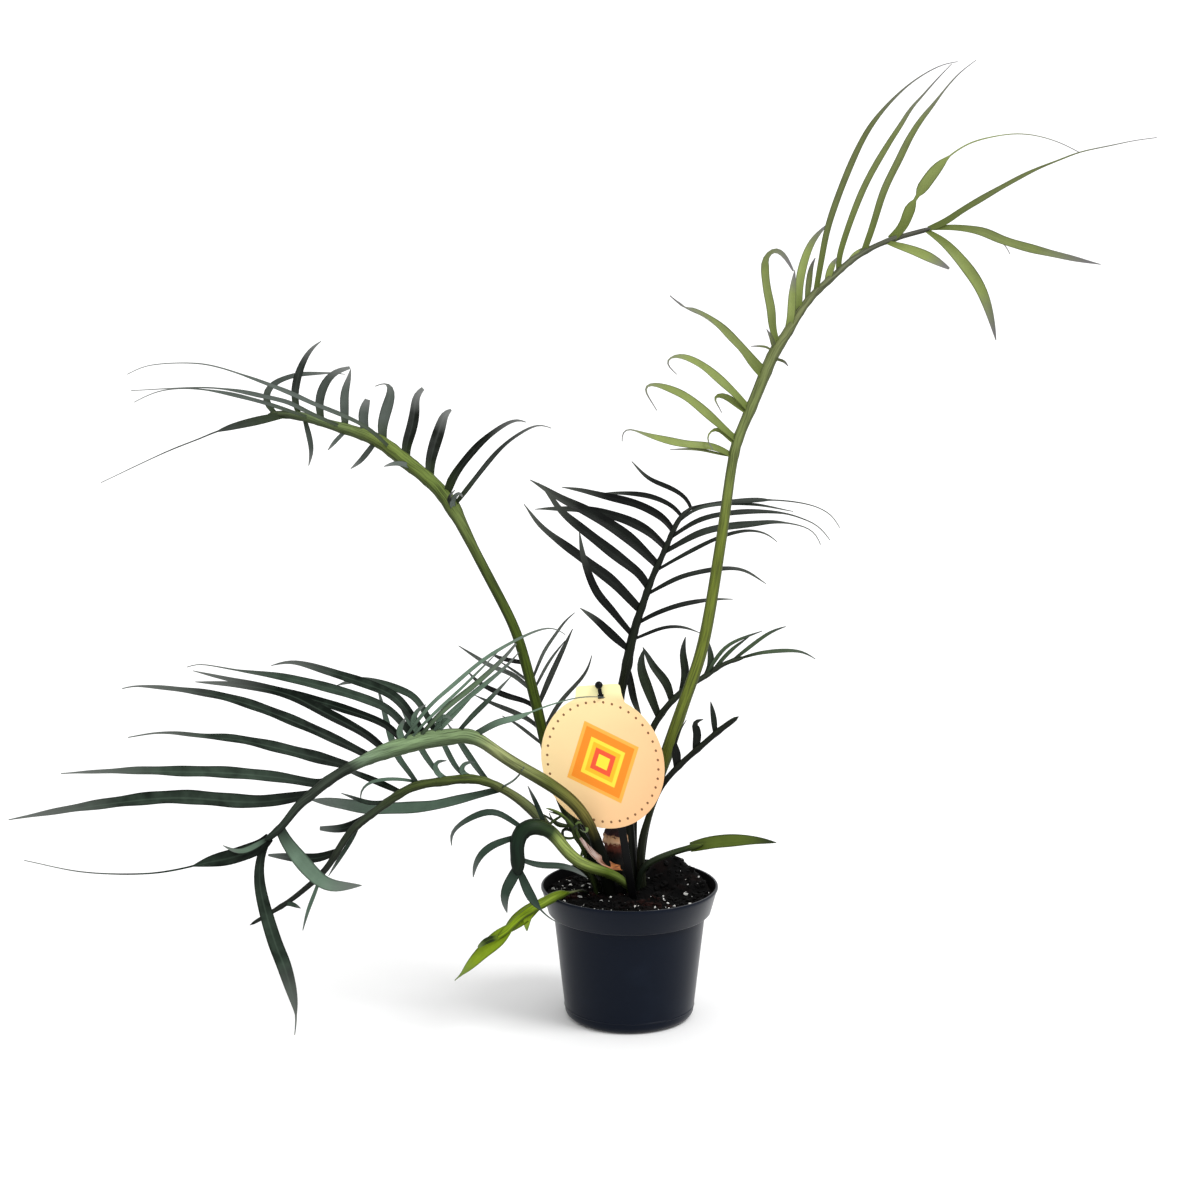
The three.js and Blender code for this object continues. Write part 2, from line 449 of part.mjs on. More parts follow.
// The leaves. Each leaflet has its width, the lean of its tip and its path.
const LEAVES = {
  // The tall leaf, arching up and to the right
  leaf_tall: {
    material: OLIVE_LEAF,
    widths: [8.6, 6.5, 3.4],
    petiole: [
      [9, 83, 1], [9, 111, -1], [17, 140, 0], [23, 176, 0], [41, 225, -2], [55, 281, -5], [63, 324, -7],
    ],
    midrib: [
      [70, 373, -8], [74, 394, -5], [80, 411, 0], [90, 433, 8], [99, 450, 18], [109, 467, 28],
      [120, 481, 39], [131, 492, 49], [141, 504, 60], [162, 517, 75], [181, 527, 86], [204, 533, 91],
    ],
    leaflets: [
      leaflet(5.2, -10, [
        [204, 533], [217, 540], [250, 560], [278, 575], [305, 584], [323, 588], [358, 595],
      ], { belly: 0.2 }),
      leaflet(4.8, -35, [[69, 377], [45, 385], [15, 393], [-1, 397], [-4, 388]]),
      leaflet(3.2, -12, [[71, 386], [67, 391], [58, 397], [53, 391], [56, 386]]),
      leaflet(6.4, -45, [[74, 393], [58, 404], [44, 414], [32, 422], [15, 428], [14, 420], [19, 409]]),
      leaflet(4.0, -15, [[77, 403], [71, 416], [63, 420], [58, 418], [63, 409]]),
      leaflet(6.4, -50, [[80, 412], [67, 423], [58, 433], [47, 441], [34, 447], [26, 445], [33, 434]]),
      leaflet(7.6, -50, [
        [89, 432], [80, 448], [68, 461], [58, 470], [47, 476], [36, 479], [27, 487],
      ], { twist: 40 }),
      leaflet(1.6, -10, [[98, 447], [91, 453], [83, 453]]),
      leaflet(2.0, -8, [[98, 449], [103, 445], [108, 439]]),
      leaflet(6.4, -55, [
        [99, 450], [98, 473], [94, 486], [91, 503], [97, 518], [106, 514], [112, 504],
      ], { belly: 0.3 }),
      leaflet(3.2, -8, [[99, 451], [98, 456], [95, 464]]),
      leaflet(4.8, 20, [[108, 465], [109, 479], [109, 490], [111, 504]]),
      leaflet(4.8, 35, [[115, 475], [114, 490], [116, 504], [122, 519], [137, 539]]),
      leaflet(3.2, 15, [[122, 483], [121, 493], [126, 513]]),
      leaflet(4.5, 30, [
        [128, 490], [130, 504], [136, 538], [143, 559], [152, 584], [168, 611], [194, 635], [223, 645],
      ]),
      leaflet(4.5, 55, [
        [142, 504], [149, 537], [156, 553], [164, 570], [175, 590], [187, 608], [219, 643],
      ]),
      leaflet(3.2, 15, [[149, 510], [151, 518], [159, 527]]),
      leaflet(5.0, 75, [
        [162, 517], [165, 537], [171, 556], [178, 572], [194, 601], [216, 632], [235, 647],
      ]),
      leaflet(8.0, 45, [
        [182, 527], [189, 538], [199, 561], [213, 578], [225, 589], [239, 593], [270, 597], [305, 583],
      ], { twist: 200 }),
      leaflet(7.2, -30, [[176, 525], [195, 519], [220, 504]]),
      leaflet(8.0, -45, [
        [202, 533], [216, 523], [226, 511], [236, 497], [246, 474], [248, 457],
      ], { twist: 30 }),
      leaflet(5.9, -30, [[201, 532], [226, 533], [250, 525], [278, 519], [293, 513], [320, 508]]),
    ],
  },
  // The leaf that arches to the upper left
  leaf_upper_left: {
    material: GREEN_LEAF,
    widths: [7.1, 5.6, 4.1],
    petiole: [
      [-9, 84, 4], [-21, 101, 2], [-36, 126, 0], [-47, 152, 0], [-57, 193, 1], [-65, 224, 3],
      [-76, 262, 5], [-86, 281, 7], [-99, 301, 10], [-107, 319, 13],
    ],
    midrib: [
      [-118, 340, 16], [-130, 352, 24], [-140, 364, 32], [-152, 376, 42], [-166, 385, 52],
      [-194, 397, 71], [-223, 405, 89], [-244, 407, 104],
    ],
    leaflets: [
      leaflet(6.0, 15, [
        [-244, 407], [-262, 401], [-283, 393], [-303, 386], [-324, 376], [-358, 361],
      ], { whip: 0.45 }),
      leaflet(3.6, -40, [
        [-161, 383], [-177, 401], [-197, 405], [-215, 414], [-241, 425], [-272, 437], [-309, 441],
        [-341, 434],
      ]),
      leaflet(3.6, -22, [[-193, 397], [-221, 410], [-248, 418], [-285, 425], [-322, 424], [-338, 423]]),
      leaflet(3.6, -8, [[-217, 404], [-241, 411], [-267, 419], [-303, 424], [-336, 414]]),
      leaflet(3.6, 35, [[-240, 407], [-246, 417], [-242, 425], [-233, 432], [-221, 434], [-193, 434]]),
      leaflet(6.1, 20, [[-226, 405], [-226, 417], [-221, 443], [-210, 456]]),
      leaflet(5.6, 24, [[-210, 401], [-211, 414], [-208, 424], [-202, 434], [-194, 439]]),
      leaflet(4.8, 10, [[-194, 397], [-193, 417], [-189, 436], [-192, 439]]),
      leaflet(3.2, 6, [[-181, 392], [-179, 412], [-175, 415]]),
      leaflet(6.7, 30, [[-166, 385], [-165, 407], [-163, 419], [-164, 426], [-172, 426]], { twist: 30 }),
      leaflet(7.2, 35, [[-152, 376], [-148, 397], [-146, 412], [-143, 422], [-138, 422]], { twist: 30 }),
      leaflet(8.0, 36, [[-138, 363], [-133, 381], [-128, 397], [-124, 407], [-120, 410]], { twist: 30 }),
      leaflet(5.1, -30, [[-128, 351], [-116, 372], [-105, 384], [-94, 394], [-74, 404], [-72, 398]]),
      leaflet(3.0, -50, [[-118, 342], [-103, 365], [-91, 379], [-78, 391], [-60, 400], [-53, 397]]),
      leaflet(3.2, -15, [[-223, 405], [-216, 385], [-217, 372]]),
      leaflet(3.2, -8, [[-192, 397], [-195, 391], [-203, 382]]),
      leaflet(3.2, -12, [[-173, 388], [-179, 378], [-189, 370]]),
      leaflet(3.2, -10, [[-149, 372], [-161, 371], [-167, 370]]),
      leaflet(3.2, -8, [[-118, 341], [-123, 348], [-120, 354], [-114, 354]]),
    ],
  },
  // The dark leaf in the middle
  leaf_middle: {
    material: DARK_LEAF,
    widths: [6.1, 4.3, 2.4],
    petiole: [[1, 82, 0], [1, 98, 3], [0, 132, 8], [-3, 172, 10], [-5, 217, 12]],
    midrib: [[0, 248, 14], [6, 270, 21], [9, 281, 26], [17, 304, 38], [29, 327, 50], [44, 345, 62]],
    leaflets: [
      leaflet(6.4, 6, [[0, 245], [1, 230], [4, 214], [8, 203]]),
      leaflet(6.1, -10, [[0, 245], [-8, 254], [-17, 261], [-25, 270], [-33, 275]]),
      leaflet(5.1, -14, [[1, 255], [-6, 268], [-25, 291], [-32, 309], [-35, 327]]),
      leaflet(7.7, -18, [
        [7, 273], [0, 285], [-10, 296], [-31, 309], [-53, 325], [-71, 345],
      ], { twist: 25 }),
      leaflet(7.2, -10, [[13, 290], [4, 301], [-15, 317], [-38, 332], [-53, 348], [-61, 363]]),
      leaflet(7.2, 4, [
        [18, 306], [10, 314], [-10, 331], [-33, 344], [-57, 357], [-69, 363],
      ], { twist: -20 }),
      leaflet(6.1, 16, [[23, 317], [8, 332], [-15, 340], [-40, 344], [-64, 342]]),
      leaflet(4.5, 28, [[29, 328], [22, 338], [0, 348], [-25, 354], [-44, 357]]),
      leaflet(3.2, 36, [[36, 336], [28, 346], [6, 353], [-21, 354]]),
      leaflet(2.6, 40, [[44, 345], [32, 356], [13, 364], [2, 375]]),
      leaflet(2.4, 14, [[1, 251], [13, 260], [34, 264], [48, 259]]),
      leaflet(3.2, 18, [[6, 264], [19, 273], [40, 279], [59, 283], [72, 281]]),
      leaflet(3.2, 22, [[11, 283], [25, 292], [54, 301], [74, 302], [93, 292]]),
      leaflet(3.2, 24, [[15, 296], [32, 309], [54, 322], [81, 329], [100, 320]]),
      leaflet(4.0, 26, [[21, 311], [38, 322], [61, 329], [96, 334], [124, 328], [129, 318]]),
      leaflet(3.2, 30, [[29, 323], [45, 332], [77, 340], [107, 339], [136, 321]]),
      leaflet(2.0, 34, [[34, 334], [46, 343], [81, 346], [111, 341]]),
      leaflet(2.4, 40, [[42, 343], [53, 347], [81, 349], [120, 346], [143, 331]]),
    ],
  },
  // The large leaf that reaches to the left, nearest the viewer
  leaf_low_left: {
    material: DEEP_LEAF,
    widths: [10.8, 9.5, 4.5],
    petiole: [
      [-14, 80, -7], [-20, 103, -10], [-26, 125, -22], [-40, 148, -34], [-52, 158, -40], [-66, 167, -46],
      [-85, 177, -53],
    ],
    midrib: [
      [-108, 190, -60], [-124, 187, -68], [-141, 184, -81], [-158, 178, -94], [-174, 173, -106],
      [-197, 160, -127], [-217, 146, -146], [-240, 123, -169], [-246, 117, -176],
    ],
    leaflets: [
      leaflet(9.3, -25, [[-216, 146], [-251, 144], [-309, 147], [-359, 142], [-421, 132]], { twist: 20 }),
      leaflet(6.0, -15, [
        [-206, 153], [-230, 158], [-270, 164], [-314, 165], [-359, 165], [-385, 163],
      ], { twist: 25 }),
      leaflet(6.4, -5, [
        [-193, 163], [-210, 173], [-225, 177], [-253, 184], [-280, 186], [-297, 191], [-314, 191],
        [-341, 188],
      ], { twist: 50 }),
      leaflet(6.4, 5, [
        [-177, 172], [-197, 186], [-213, 195], [-247, 208], [-280, 216], [-326, 222], [-343, 220],
      ], { twist: 30 }),
      leaflet(6.0, 14, [[-164, 177], [-183, 192], [-210, 205], [-236, 216], [-270, 224], [-295, 226]]),
      leaflet(6.0, 22, [
        [-150, 181], [-168, 196], [-202, 209], [-242, 221], [-280, 230], [-301, 234], [-299, 229],
      ]),
      leaflet(6.0, 30, [
        [-142, 183], [-163, 206], [-180, 214], [-213, 225], [-247, 231], [-285, 234], [-299, 237],
      ]),
      leaflet(6.0, 34, [
        [-129, 186], [-141, 204], [-162, 215], [-183, 224], [-208, 234], [-233, 239], [-243, 237],
      ]),
      leaflet(4.0, 34, [[-114, 190], [-124, 203], [-135, 210], [-160, 223], [-185, 227], [-198, 223]]),
      leaflet(2.4, 28, [[-107, 189], [-88, 200], [-63, 205], [-38, 214], [-19, 214]], { belly: 0.2 }),
      leaflet(2.8, 40, [
        [-144, 182], [-141, 201], [-133, 212], [-120, 224], [-99, 242], [-80, 256], [-60, 264],
        [-46, 261],
      ]),
      leaflet(5.6, 36, [
        [-153, 179], [-141, 194], [-114, 217], [-88, 237], [-69, 252], [-57, 262], [-36, 274],
      ], { whip: 0.7 }),
      leaflet(2.8, 24, [[-137, 184], [-124, 199], [-111, 213], [-97, 225], [-82, 241]]),
      leaflet(2.8, 18, [[-118, 188], [-111, 198], [-99, 213], [-88, 224], [-82, 232]]),
      leaflet(3.2, -8, [[-142, 183], [-147, 198], [-143, 207], [-138, 210]]),
      leaflet(3.2, -10, [[-128, 186], [-130, 198], [-124, 203], [-120, 199]]),
      leaflet(3.2, -8, [[-153, 180], [-156, 191], [-152, 201]]),
      leaflet(9.6, 12, [[-239, 123], [-225, 111], [-216, 98], [-201, 87], [-180, 87]]),
      leaflet(9.6, -15, [
        [-244, 119], [-264, 110], [-286, 103], [-326, 96], [-371, 96], [-411, 104],
      ], { whip: 0.5, belly: 0.25 }),
      leaflet(10.1, -8, [
        [-245, 119], [-250, 100], [-248, 75], [-242, 56], [-230, 19], [-227, -14],
      ], { belly: 0.65 }),
    ],
  },
  // The dark leaf behind the upper left one
  leaf_behind_left: {
    material: DARK_LEAF,
    widths: [4.7, 4.1, 2.7],
    petiole: [[-14, 86, 12], [-21, 103, 18], [-38, 137, 22], [-50, 164, 25]],
    midrib: [[-57, 184, 27], [-61, 203, 29], [-66, 226, 31], [-71, 247, 33]],
    leaflets: [
      leaflet(4.4, 18, [[-65, 220], [-69, 222], [-80, 231], [-92, 235], [-116, 250]]),
      leaflet(4.8, 22, [[-63, 210], [-85, 218], [-99, 226], [-111, 239]]),
      leaflet(4.0, 22, [[-60, 198], [-76, 203], [-88, 210], [-105, 218]]),
      leaflet(4.0, 16, [[-56, 182], [-65, 188], [-85, 203]]),
      leaflet(4.0, 10, [[-67, 228], [-65, 235], [-57, 247], [-47, 262], [-36, 273]]),
      leaflet(4.0, 12, [[-65, 218], [-62, 226], [-54, 241], [-43, 254]]),
      leaflet(4.0, 14, [[-61, 205], [-58, 216], [-52, 231], [-44, 247], [-37, 264]]),
      leaflet(4.0, 16, [[-58, 191], [-54, 202], [-47, 212], [-38, 224], [-25, 237], [-25, 245]]),
    ],
  },
  // The leaf that arches down to the left behind the large one
  leaf_arch: {
    material: DEEP_LEAF,
    widths: [5.8, 5.1, 2.7],
    petiole: [[-20, 83, 2], [-28, 99, -3], [-43, 117, -7], [-59, 132, -10], [-76, 146, -13]],
    midrib: [
      [-88, 155, -15], [-98, 159, -18], [-112, 161, -24], [-129, 158, -30], [-146, 155, -37],
      [-165, 144, -46], [-183, 130, -56], [-202, 111, -68], [-221, 87, -81], [-242, 71, -93],
      [-258, 62, -102],
    ],
    leaflets: [
      leaflet(5.6, 12, [[-145, 155], [-154, 165], [-161, 182], [-167, 201], [-173, 222]]),
      leaflet(5.6, 16, [[-130, 158], [-142, 182], [-150, 201], [-160, 220]]),
      leaflet(5.6, 20, [[-112, 161], [-120, 176], [-128, 189], [-137, 205]]),
      leaflet(4.8, 18, [[-95, 159], [-104, 172], [-114, 184], [-123, 198]]),
      leaflet(9.2, -18, [
        [-88, 154], [-101, 149], [-118, 144], [-152, 140], [-185, 142], [-202, 144], [-216, 146],
      ], { twist: 60 }),
      leaflet(2.8, -8, [[-140, 156], [-152, 159], [-174, 158], [-181, 153], [-185, 146]]),
      leaflet(6.4, -8, [[-177, 135], [-190, 129], [-210, 125]]),
      leaflet(6.4, -8, [[-198, 115], [-206, 109], [-223, 106], [-246, 108]]),
      leaflet(3.2, 8, [[-185, 128], [-187, 121], [-194, 109], [-204, 94]]),
      leaflet(3.2, 6, [[-208, 100], [-211, 87], [-217, 75], [-221, 58]]),
      leaflet(3.2, -5, [[-237, 74], [-230, 75], [-223, 72]]),
      leaflet(4.0, -10, [[-124, 159], [-131, 164], [-131, 171], [-124, 172]]),
      leaflet(4.0, -10, [[-107, 161], [-114, 164], [-112, 170], [-105, 171]]),
      leaflet(2.4, -12, [[-88, 154], [-79, 158], [-74, 163], [-71, 170]]),
    ],
  },
  // The small hooked leaf over the pot's left edge
  leaf_hooked: {
    material: DEEP_LEAF,
    widths: [8.1, 6.1, 5.4],
    petiole: [
      [-6, 77, -17], [-8, 88, -19], [-15, 95, -22], [-26, 99, -26], [-36, 106, -29], [-52, 121, -34],
    ],
    midrib: [
      [-60, 127, -37], [-67, 129, -40], [-74, 125, -43], [-76, 115, -46], [-75, 103, -48], [-75, 91, -49],
    ],
    leaflets: [
      leaflet(4.0, -10, [[-71, 127], [-83, 135], [-95, 138], [-114, 129], [-121, 121], [-120, 115]]),
      leaflet(4.8, -10, [[-76, 119], [-88, 117], [-97, 111], [-105, 100], [-105, 93]]),
      leaflet(5.6, -6, [[-75, 103], [-85, 82], [-82, 68]]),
      leaflet(5.2, -4, [[-75, 96], [-69, 84], [-59, 68], [-47, 62]]),
      leaflet(4.0, 10, [[-75, 104], [-61, 102], [-42, 100], [-29, 93]]),
      leaflet(3.2, 4, [[-59, 127], [-61, 138], [-69, 155]]),
    ],
  },
  // The low lime leaf that hangs over the rim
  leaf_lime: {
    material: LIME_LEAF,
    widths: [4.1, 4.1, 4.7],
    petiole: [[-24, 79, -13], [-27, 86, -15], [-33, 89, -20], [-40, 87, -27]],
    midrib: [[-40, 87, -27], [-52, 82, -35], [-61, 76, -40], [-72, 70, -45], [-90, 52, -52]],
    leaflets: [
      leaflet(7.2, -12, [[-86, 55], [-99, 42], [-107, 35], [-118, 24]], { belly: 0.25 }),
      leaflet(4.0, -3, [[-66, 73], [-70, 66], [-69, 57]]),
      leaflet(4.0, -4, [[-86, 56], [-93, 54], [-101, 48]]),
    ],
  },
  // The undivided leaf on the right
  leaf_lance: {
    material: OLIVE_LEAF,
    widths: [4.7, 4.1, 4.1],
    petiole: [[12, 81, -6], [12, 98, -8], [19, 106, -12], [31, 110, -15]],
    midrib: [[31, 110, -15], [48, 117, -19]],
    leaflets: [
      leaflet(8.8, -14, [[44, 115], [57, 119], [82, 119], [99, 116]]),
    ],
  },
  // The small dark leaf on the right
  leaf_small_right: {
    material: DARK_LEAF,
    widths: [4.4, 4.1, 3.8],
    petiole: [[5, 80, -8], [3, 98, -9], [7, 125, -9], [15, 145, -10]],
    midrib: [[23, 157, -11], [36, 171, -17], [51, 184, -25], [60, 192, -31], [74, 202, -39]],
    leaflets: [
      leaflet(4.8, -4, [[33, 167], [32, 180], [35, 194], [40, 201]]),
      leaflet(5.6, -6, [[46, 180], [46, 191], [44, 198], [50, 200]]),
      leaflet(4.0, -6, [[60, 192], [57, 201], [55, 212]]),
    ],
  },
  // The dark leaf behind the tall one's petiole
  leaf_right: {
    material: DARK_LEAF,
    widths: [5.1, 4.7, 2.7],
    petiole: [[6, 86, 12], [6, 104, 13], [8, 145, 17], [11, 176, 20]],
    midrib: [[15, 195, 22], [21, 205, 24], [36, 220, 28], [48, 227, 34], [64, 238, 42], [79, 243, 48]],
    leaflets: [
      leaflet(3.2, 10, [[79, 243], [88, 245], [117, 246], [126, 241]]),
      leaflet(6.4, -6, [[17, 198], [12, 220], [7, 237], [8, 245]]),
      leaflet(5.1, 8, [[26, 211], [29, 220], [21, 230], [10, 248]]),
      leaflet(5.6, 8, [[37, 220], [38, 230], [36, 246], [38, 256]]),
      leaflet(4.8, 8, [[53, 230], [55, 236], [54, 252]]),
      leaflet(3.2, 12, [[52, 230], [65, 249], [74, 254], [90, 260]]),
      leaflet(3.2, 6, [[59, 234], [69, 247], [81, 256]]),
      leaflet(3.2, 8, [[72, 241], [82, 249], [97, 260], [106, 263]]),
    ],
  },
  // The young leaf, still curled
  leaf_young: {
    material: GREEN_LEAF,
    widths: [3.1, 2.4, 1.7],
    petiole: [[-22, 81, -6], [-27, 98, -11], [-31, 111, -13], [-35, 123, -15]],
    midrib: [[-35, 123, -15], [-43, 133, -17], [-53, 140, -21], [-57, 140, -23]],
    leaflets: [
      leaflet(2.4, -10, [[-34, 114], [-38, 122], [-38, 127], [-35, 129], [-35, 125]]),
      leaflet(2.0, -5, [[-40, 130], [-47, 129], [-61, 137]]),
      leaflet(2.0, -6, [[-35, 123], [-42, 119], [-55, 126]]),
      leaflet(2.0, -5, [[-47, 137], [-53, 130], [-58, 125]]),
      leaflet(2.0, -6, [[-30, 109], [-34, 104], [-38, 110]]),
    ],
  },
};

// The stem is a short lumpy stub among the feet of the leaves
function stemStub(grown) {
  const rings = STEM_RINGS.map(([radius, height]) => [radius + grown, height]);
  const foot = STEM_RINGS[0][1] - grown;
  const top = STEM_RINGS[STEM_RINGS.length - 1][1] + grown;
  rings[0][1] = foot;
  const stub = lathe([[0, foot], ...rings, [0, top]], STEM_SIDES);
  return solid(stub.translate(STEM_CENTRE.x, STEM_CENTRE.y, 0));
}

// The room that a leaf's stalk takes, with a gap round it
function stalkRoom(leaf) {
  return stalkSolid(leaf, HOLE_GAP).add(rootSolid(leaf, HOLE_GAP));
}

// A dry brown sheath that a young leaf has left behind, curling away from the stem
function drySheath() {
  const points = SHEATH_PATH.map(([right, up, behind]) => new THREE.Vector3(right, up, behind));
  return sweep(smoothLine(points), SHEATH_STEPS, 4, (t) => ({
    halfWidth: SHEATH_WIDTH / 2 * Math.sin(Math.PI * THREE.MathUtils.lerp(...SHEATH_TAPER, t)),
    halfDepth: BLADE_DEPTH / 2,
    turn: 0,
  }));
}

const leaves = Object.entries(LEAVES);
const rooms = joined(leaves.map(([, leaf]) => stalkRoom(leaf)));
const stakeRoom = stake(HOLE_GAP);
const stem = largestBody(stemStub(0).subtract(rooms).subtract(stakeRoom));
const filling = soil().subtract(rooms).subtract(stemStub(HOLE_GAP)).subtract(stakeRoom);

const plant = new THREE.Group();
plant.add(meshOf('pot', pot(), POT_PLASTIC));
plant.add(meshOf('soil', largestBody(filling), POTTING_MIX));
plant.add(meshOf('stem', stem, STEM_BARK));
plant.add(meshOf('dry_sheath', drySheath(), DRY_SHEATH));
plant.add(meshOf('label_stake', stake(0), STAKE_PLASTIC));
plant.add(meshOf('label_card', card(), PRINTED_CARD));
for (const [name, leaf] of leaves) {
  plant.add(meshOf(name, leafSolid(leaf), leaf.material));
}

export default plant;
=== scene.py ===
import logging
import math
import random
from collections.abc import Callable, Sequence
from dataclasses import dataclass, field
from enum import Enum

import bmesh
import bpy
from mathutils import Matrix, Vector, noise


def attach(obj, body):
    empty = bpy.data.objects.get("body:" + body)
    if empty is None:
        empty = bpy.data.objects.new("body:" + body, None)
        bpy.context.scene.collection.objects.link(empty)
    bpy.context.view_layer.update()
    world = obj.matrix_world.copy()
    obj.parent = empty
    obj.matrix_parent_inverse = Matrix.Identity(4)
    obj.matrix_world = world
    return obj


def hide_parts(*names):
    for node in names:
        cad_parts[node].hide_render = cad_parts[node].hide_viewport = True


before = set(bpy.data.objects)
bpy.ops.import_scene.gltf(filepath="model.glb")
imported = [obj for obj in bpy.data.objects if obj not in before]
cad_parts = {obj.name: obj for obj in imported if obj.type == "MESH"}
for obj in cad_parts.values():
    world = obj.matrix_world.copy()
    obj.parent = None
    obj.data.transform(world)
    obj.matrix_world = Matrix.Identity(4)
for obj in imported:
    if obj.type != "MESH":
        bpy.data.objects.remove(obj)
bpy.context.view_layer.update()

LOG = logging.getLogger("potted_philodendron")
MM = 0.001
ROOT = "root"

# The leaves are set out as they show from the front. A point is (right, up), as read on an upright sheet
# through the pot's axis at right angles to the line of sight, with its depth behind the axis beside it.
EYE = Vector((-20.0, -1917.0, 693.0))
SHEET_DISTANCE = 2000.0
SHEET_CENTRE = Vector((-20.0, 281.0))
SIGHT_TILT = math.radians(11.9)
SIGHT = Vector((0.0, math.cos(SIGHT_TILT), -math.sin(SIGHT_TILT)))
SHEET_UP = Vector((0.0, math.sin(SIGHT_TILT), math.cos(SIGHT_TILT)))
LENS_MM = 88.5
SENSOR_MM = 36.0

# The way a blade's upper side faces when nothing turns it: up, and toward the viewer
FACE_TILT = math.radians(40.0)
FACE = Vector((0.0, -math.cos(FACE_TILT), math.sin(FACE_TILT)))

# Sizes that the pieces share, in millimetres
RIM_RADIUS = 60.0
POT_WALL = 1.5
GAP = 0.3
SOIL_TOP = 86.0

# How far a material's roughness drifts either way
ROUGHNESS_DRIFT = 0.06

# Short names of types. A wash of colour has what it follows, its start, its full place, strength and colour
Triple = tuple[float, float, float]
Pair = tuple[float, float]
Tree = bpy.types.NodeTree
Socket = bpy.types.NodeSocket
Material = bpy.types.Material
Mesh = bmesh.types.BMesh
Object = bpy.types.Object
Wash = tuple[Socket, float, float, float, str]


def read_along(stops: Sequence[Pair], share: float) -> float:
    """Reads a value between stops that each have a share of a length and a value.

    Args:
        stops: The stops, in order.
        share: Where to read.

    Returns:
        The value there.
    """
    for (start, first), (end, last) in zip(stops, stops[1:]):
        if share <= end:
            return first + (last - first) * max(0.0, share - start) / (end - start)
    return stops[-1][1]


class Side(Enum):
    """The two sides of a leaflet, each with its own skin."""

    UPPER = 1
    LOWER = 2


def linear(hex_code: str) -> tuple[float, float, float, float]:
    """Turns an sRGB hex colour into linear RGBA.

    Args:
        hex_code: Six hex digits, such as "222B38".

    Returns:
        Red, green, blue and alpha, in linear light.
    """
    channels = [int(hex_code[i:i + 2], 16) / 255 for i in (0, 2, 4)]
    rgb = [c / 12.92 if c <= 0.04045 else ((c + 0.055) / 1.055) ** 2.4 for c in channels]
    return (rgb[0], rgb[1], rgb[2], 1.0)


def feed(tree: Tree, node: bpy.types.Node, inputs: dict[str | int, object]) -> None:
    """Sets a node's inputs.

    Args:
        tree: The node's tree.
        node: The node.
        inputs: Socket name or number to a value, or to the output that feeds it.
    """
    for key, value in inputs.items():
        if isinstance(value, Socket):
            tree.links.new(value, node.inputs[key])
        else:
            node.inputs[key].default_value = value


def add_node(
    tree: Tree,
    kind: str,
    settings: dict[str, object] | None = None,
    inputs: dict[str | int, object] | None = None,
) -> bpy.types.Node:
    """Adds one shader node with its settings and its inputs.

    Args:
        tree: The node tree that it goes into.
        kind: The node's type without its first two words, such as "TexNoise".
        settings: Values of the node's own properties.
        inputs: Its inputs, as in feed.

    Returns:
        The new node.
    """
    made = tree.nodes.new(f"ShaderNode{kind}")
    for key, value in (settings or {}).items():
        setattr(made, key, value)
    feed(tree, made, inputs or {})
    return made


def ramp(tree: Tree, share: Socket, colours: Sequence[tuple[float, str]]) -> bpy.types.Node:
    """Adds a colour ramp.

    Args:
        tree: The material's node tree.
        share: What the ramp is read with.
        colours: The colours, each with its place on the ramp.

    Returns:
        The ramp.
    """
    made = add_node(tree, "ValToRGB", None, {0: share})
    stops = made.color_ramp.elements
    while len(stops) < len(colours):
        stops.new(1.0)
    for stop, (place, colour) in zip(stops, colours):
        stop.position = place
        stop.color = linear(colour)
    return made


def washed(tree: Tree, ground: object, washes: Sequence[Wash]) -> Socket:
    """Lays washes of colour over a ground, one on another.

    Args:
        tree: The material's node tree.
        ground: The colour under them, or the output that gives it.
        washes: For each, what it follows, where on that it starts and where it is full, how much it
            hides there, and its colour.

    Returns:
        The colour on top.
    """
    for guide, start, full, strength, colour in washes:
        share = add_node(tree, "MapRange", None, {
            "Value": guide, "From Min": start, "From Max": full, "To Max": strength,
        })
        mixed = add_node(tree, "Mix", {"data_type": "RGBA"}, {
            0: share.outputs[0], 6: ground, 7: linear(colour),
        })
        ground = mixed.outputs[2]
    return ground


def leaf_places(tree: Tree) -> tuple[Socket, Socket, Socket]:
    """Reads the two maps that roll_tube lays over a piece.

    Args:
        tree: The material's node tree.

    Returns:
        How far out from the middle line a place is, up to 0.5, its share of the length, and its place
        in millimetres.
    """
    place = add_node(tree, "UVMap", {"uv_map": "leaf"})
    axes = add_node(tree, "SeparateXYZ", None, {0: place.outputs[0]})
    aside = add_node(tree, "Math", {"operation": "SUBTRACT"}, {0: axes.outputs[0], 1: 0.5})
    outward = add_node(tree, "Math", {"operation": "ABSOLUTE"}, {0: aside.outputs[0]})
    size = add_node(tree, "UVMap", {"uv_map": "size"})
    return outward.outputs[0], axes.outputs[1], size.outputs[0]


def new_material(name: str) -> tuple[Material, Tree, bpy.types.Node]:
    """Makes a material with one Principled shader.

    Args:
        name: The material's name.

    Returns:
        The material, its node tree and the shader.
    """
    material = bpy.data.materials.new(name)
    material.use_nodes = True
    tree = material.node_tree
    return material, tree, tree.nodes["Principled BSDF"]


def dress(
    tree: Tree, shader: bpy.types.Node, colour: Socket, relief: Socket, bump: Pair,
    inputs: dict[str | int, object],
) -> None:
    """Gives a shader its colour, its relief and its other inputs.

    Args:
        tree: The material's node tree.
        shader: The shader.
        colour: What colours it.
        relief: What raises its surface.
        bump: How strongly that shows, and its height in mm.
        inputs: The other inputs, as in feed.
    """
    raised = add_node(tree, "Bump", None, {
        "Strength": bump[0], "Distance": bump[1] * MM, "Height": relief,
    })
    feed(tree, shader, {"Base Color": colour, "Normal": raised.outputs[0], **inputs})


